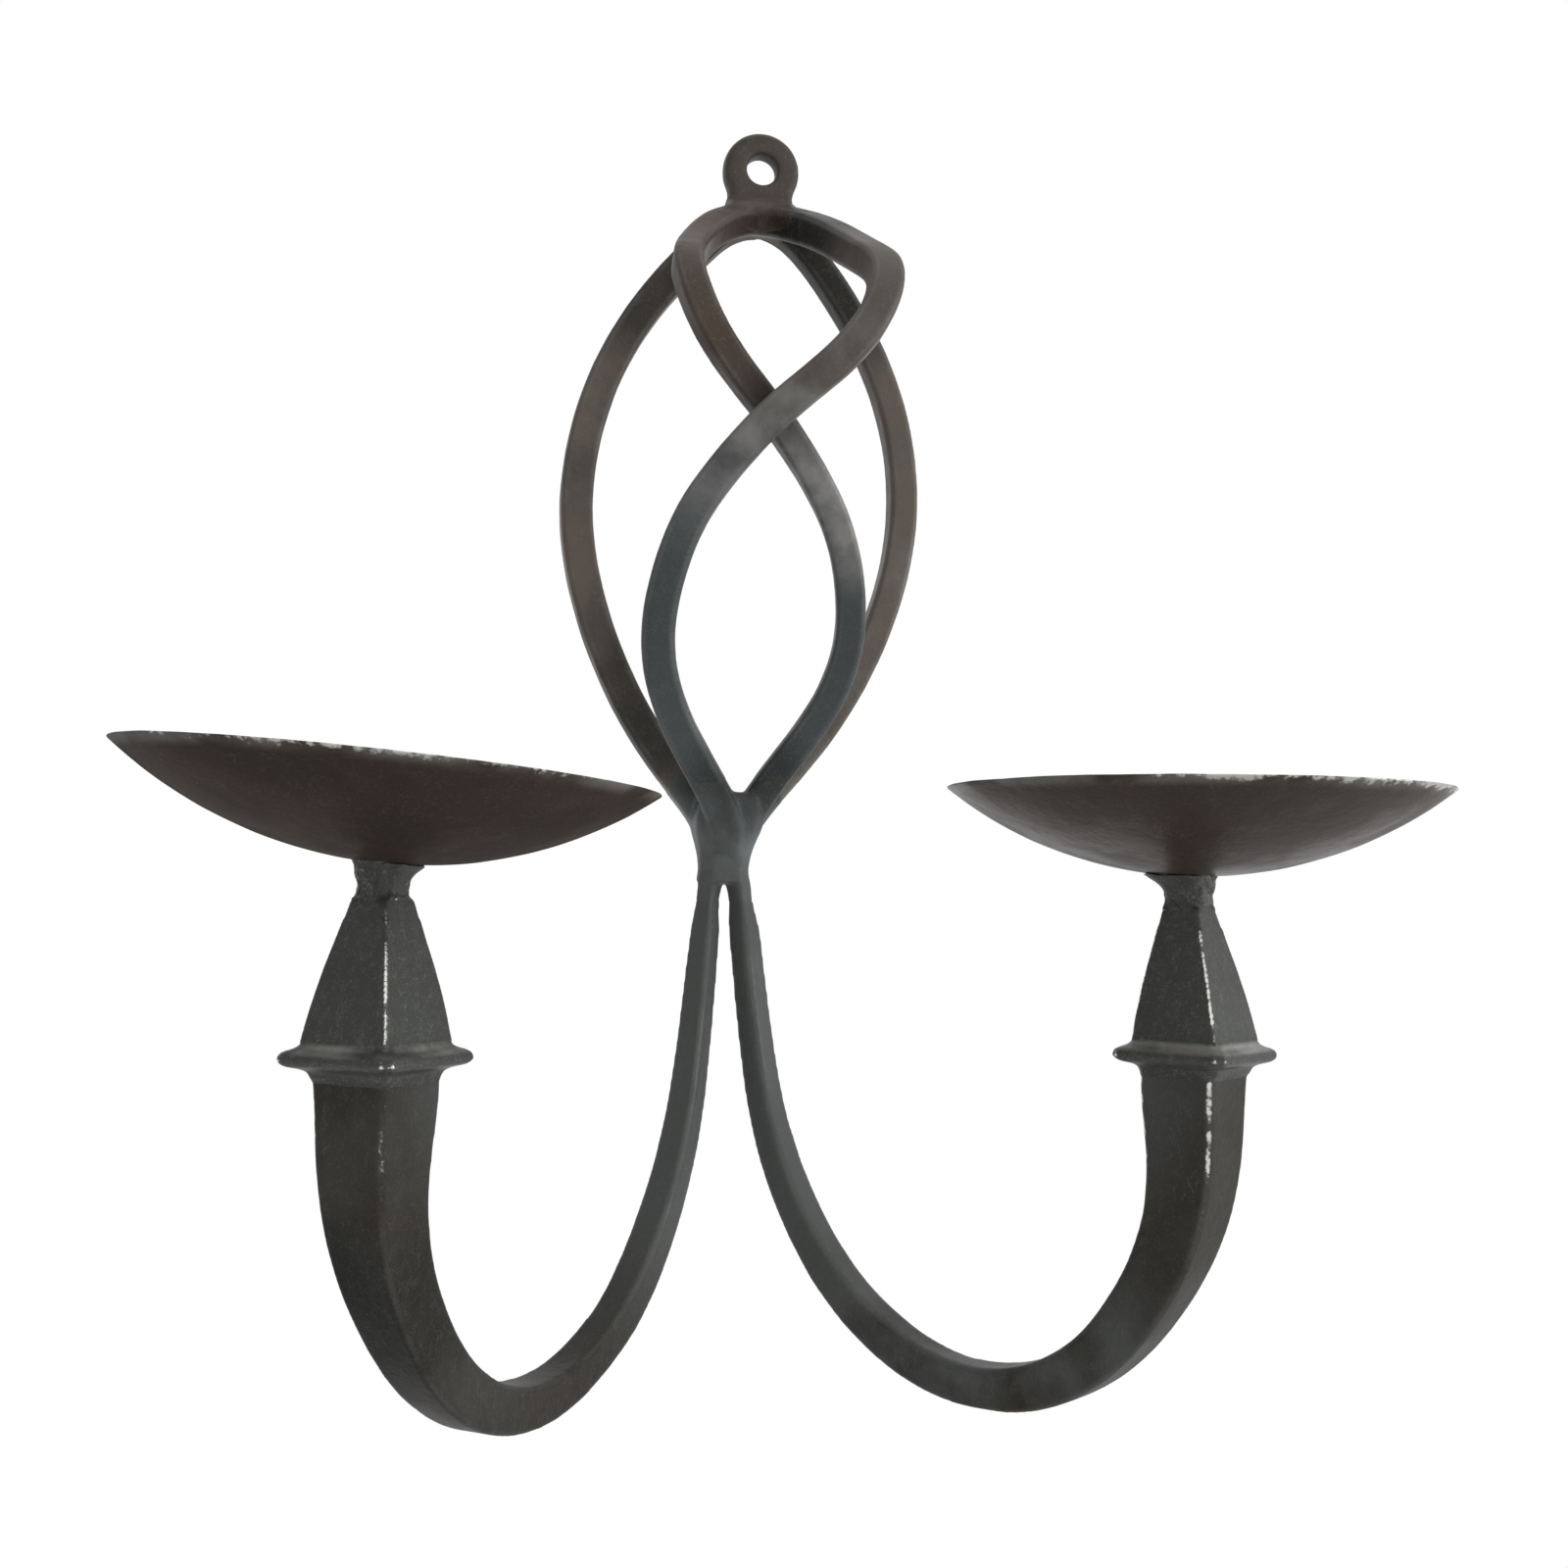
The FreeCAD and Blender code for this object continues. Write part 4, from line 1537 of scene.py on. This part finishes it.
@dataclass
class Studio:
    """White room, pale floor, soft lamps and the camera."""

    floor_height: float = -0.42
    light_level: float = 0.43
    light_slope: tuple[float, float, float] = (0.54, 0.0, 0.33)
    least_light: float = 0.05
    floor_half: float = 6.0
    floor_tone: float = 0.93
    floor_shadow: tuple[float, float] = (0.08, 0.27)
    target: tuple[float, float, float] = (-0.007, -0.08, -0.14)
    camera_place: tuple[float, float, float] = (-0.08178, -0.45486, -0.17946)
    yaw: float = 0.196714
    pitch: float = 0.054897
    roll: float = 0.014577
    focal_px: float = 1894.93
    picture_px: float = 1600.0
    sensor_mm: float = 36.0
    clip_start: float = 0.01
    lamps: tuple[Lamp, ...] = (
        Lamp("key", (1.7, -0.75, 0.05), 0.8, 11.0),
        Lamp("front", (-0.1, -1.0, 0.3), 0.8, 1.2),
        Lamp("top", (0.1, -0.1, 0.95), 0.6, 1.0),
    )

    def build(self) -> None:
        """Build the studio."""
        self.set_view()
        self.make_world()
        self.make_floor()
        self.make_lamps()
        self.make_camera()

    @staticmethod
    def set_view() -> None:
        """Show colours as they are written."""
        bpy.context.scene.view_settings.view_transform = "Standard"

    @staticmethod
    def seen_plainly(sheet: NodeSheet) -> bpy.types.NodeSocket:
        """One where a ray comes from the camera, a reflection or through glass.

        Args:
            sheet: the node sheet of a world or a material.

        Returns:
            The socket with the value.
        """
        path = sheet.place("ShaderNodeLightPath")
        direct = sheet.math("MAXIMUM", path.outputs["Is Camera Ray"], path.outputs["Is Transmission Ray"])
        return sheet.math("MAXIMUM", direct, path.outputs["Is Glossy Ray"])

    def make_world(self) -> None:
        """White where it is seen or reflected; as light, brighter from the right and above."""
        world = bpy.data.worlds.new("white_room")
        world.use_nodes = True
        sheet = NodeSheet(world.node_tree)
        sheet.tree.nodes.clear()
        way = sheet.place("ShaderNodeTexCoord").outputs["Generated"]
        slope = sheet.place("ShaderNodeVectorMath", {0: way, 1: self.light_slope}, operation="DOT_PRODUCT")
        level = sheet.math("MAXIMUM", sheet.plus(slope.outputs["Value"], self.light_level), self.least_light)
        light = sheet.place("ShaderNodeBackground", {"Color": (1, 1, 1, 1), "Strength": level})
        seen = sheet.place("ShaderNodeBackground", {"Color": (1, 1, 1, 1), "Strength": 1.0})
        mix = sheet.place(
            "ShaderNodeMixShader", {0: self.seen_plainly(sheet), 1: light.outputs[0], 2: seen.outputs[0]}
        )
        sheet.place("ShaderNodeOutputWorld", {"Surface": mix.outputs[0]})
        bpy.context.scene.world = world

    def make_floor(self) -> None:
        """Pale floor that keeps a shadow near the light and turns white further out."""
        bm = bmesh.new()
        bmesh.ops.create_grid(bm, x_segments=8, y_segments=8, size=self.floor_half)
        bmesh.ops.translate(bm, vec=(0.0, 0.0, self.floor_height), verts=bm.verts)
        mesh = bpy.data.meshes.new("studio_floor")
        bm.to_mesh(mesh)
        bm.free()
        material = bpy.data.materials.new("pale_floor")
        material.use_nodes = True
        sheet = NodeSheet(material.node_tree)
        sheet.tree.nodes.clear()
        place = sheet.place("ShaderNodeTexCoord").outputs["Object"]
        far = sheet.ramp(sheet.distance(place, (*self.target[:2], self.floor_height)), *self.floor_shadow)
        plain = sheet.times(far, self.seen_plainly(sheet))
        diffuse = sheet.place("ShaderNodeBsdfDiffuse", {"Color": (*[self.floor_tone] * 3, 1)})
        white = sheet.place("ShaderNodeEmission", {"Color": (1, 1, 1, 1), "Strength": 1.0})
        mix = sheet.place("ShaderNodeMixShader", {0: plain, 1: diffuse.outputs[0], 2: white.outputs[0]})
        sheet.place("ShaderNodeOutputMaterial", {"Surface": mix.outputs[0]})
        mesh.materials.append(material)
        floor = bpy.data.objects.new("studio_floor", mesh)
        bpy.context.scene.collection.objects.link(floor)
        floor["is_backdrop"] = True

    def make_lamps(self) -> None:
        """Square soft lamps that face the light."""
        for lamp in self.lamps:
            data = bpy.data.lights.new("lamp_" + lamp.name, "AREA")
            data.size = lamp.size
            data.energy = lamp.watts
            stand = bpy.data.objects.new("lamp_" + lamp.name, data)
            stand.location = lamp.place
            aim = Vector(self.target) - Vector(lamp.place)
            stand.rotation_euler = aim.to_track_quat("-Z", "Y").to_euler()
            bpy.context.scene.collection.objects.link(stand)

    def make_camera(self) -> None:
        """Camera at the photograph's place, direction and angle of view."""
        flat = math.cos(self.pitch)
        forward = Vector((math.sin(self.yaw) * flat, math.cos(self.yaw) * flat, math.sin(self.pitch)))
        level = Vector((math.cos(self.yaw), -math.sin(self.yaw), 0.0))
        upright = level.cross(forward)
        right = level * math.cos(self.roll) + upright * math.sin(self.roll)
        above = upright * math.cos(self.roll) - level * math.sin(self.roll)
        data = bpy.data.cameras.new("camera")
        data.sensor_width = self.sensor_mm
        data.lens = self.focal_px * self.sensor_mm / self.picture_px
        data.clip_start = self.clip_start
        camera = bpy.data.objects.new("camera", data)
        turn = Matrix((right, above, -forward)).transposed().to_4x4()
        camera.matrix_world = Matrix.Translation(self.camera_place) @ turn
        bpy.context.scene.collection.objects.link(camera)
        bpy.context.scene.camera = camera


def main() -> None:
    """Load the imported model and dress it."""
    logging.basicConfig(level=logging.INFO, format="%(message)s")
    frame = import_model()
    kit = PieceKit(frame, FinishGroups())
    Cage().build(kit)
    # Painted shade on the outer left face of the left arm, which faces away from the light
    CandleArm(Side.LEFT, painted_shades=(PaintedShade(mm(-96, -95, -260), 32 * MM, 0.85),), seed=11.0).build(kit)
    # A paler band low on the right arm
    CandleArm(Side.RIGHT, low_pale_band=0.9, seed=17.0).build(kit)
    CandleDish(Side.LEFT, tilt_deg=4.8, seed=31.0).build(kit)
    CandleDish(Side.RIGHT, seed=37.0, sheen=0.07, wear=0.58, wear_place=mm(12, -48, 18)).build(kit)
    Studio().build()


if __name__ == "__main__":
    main()
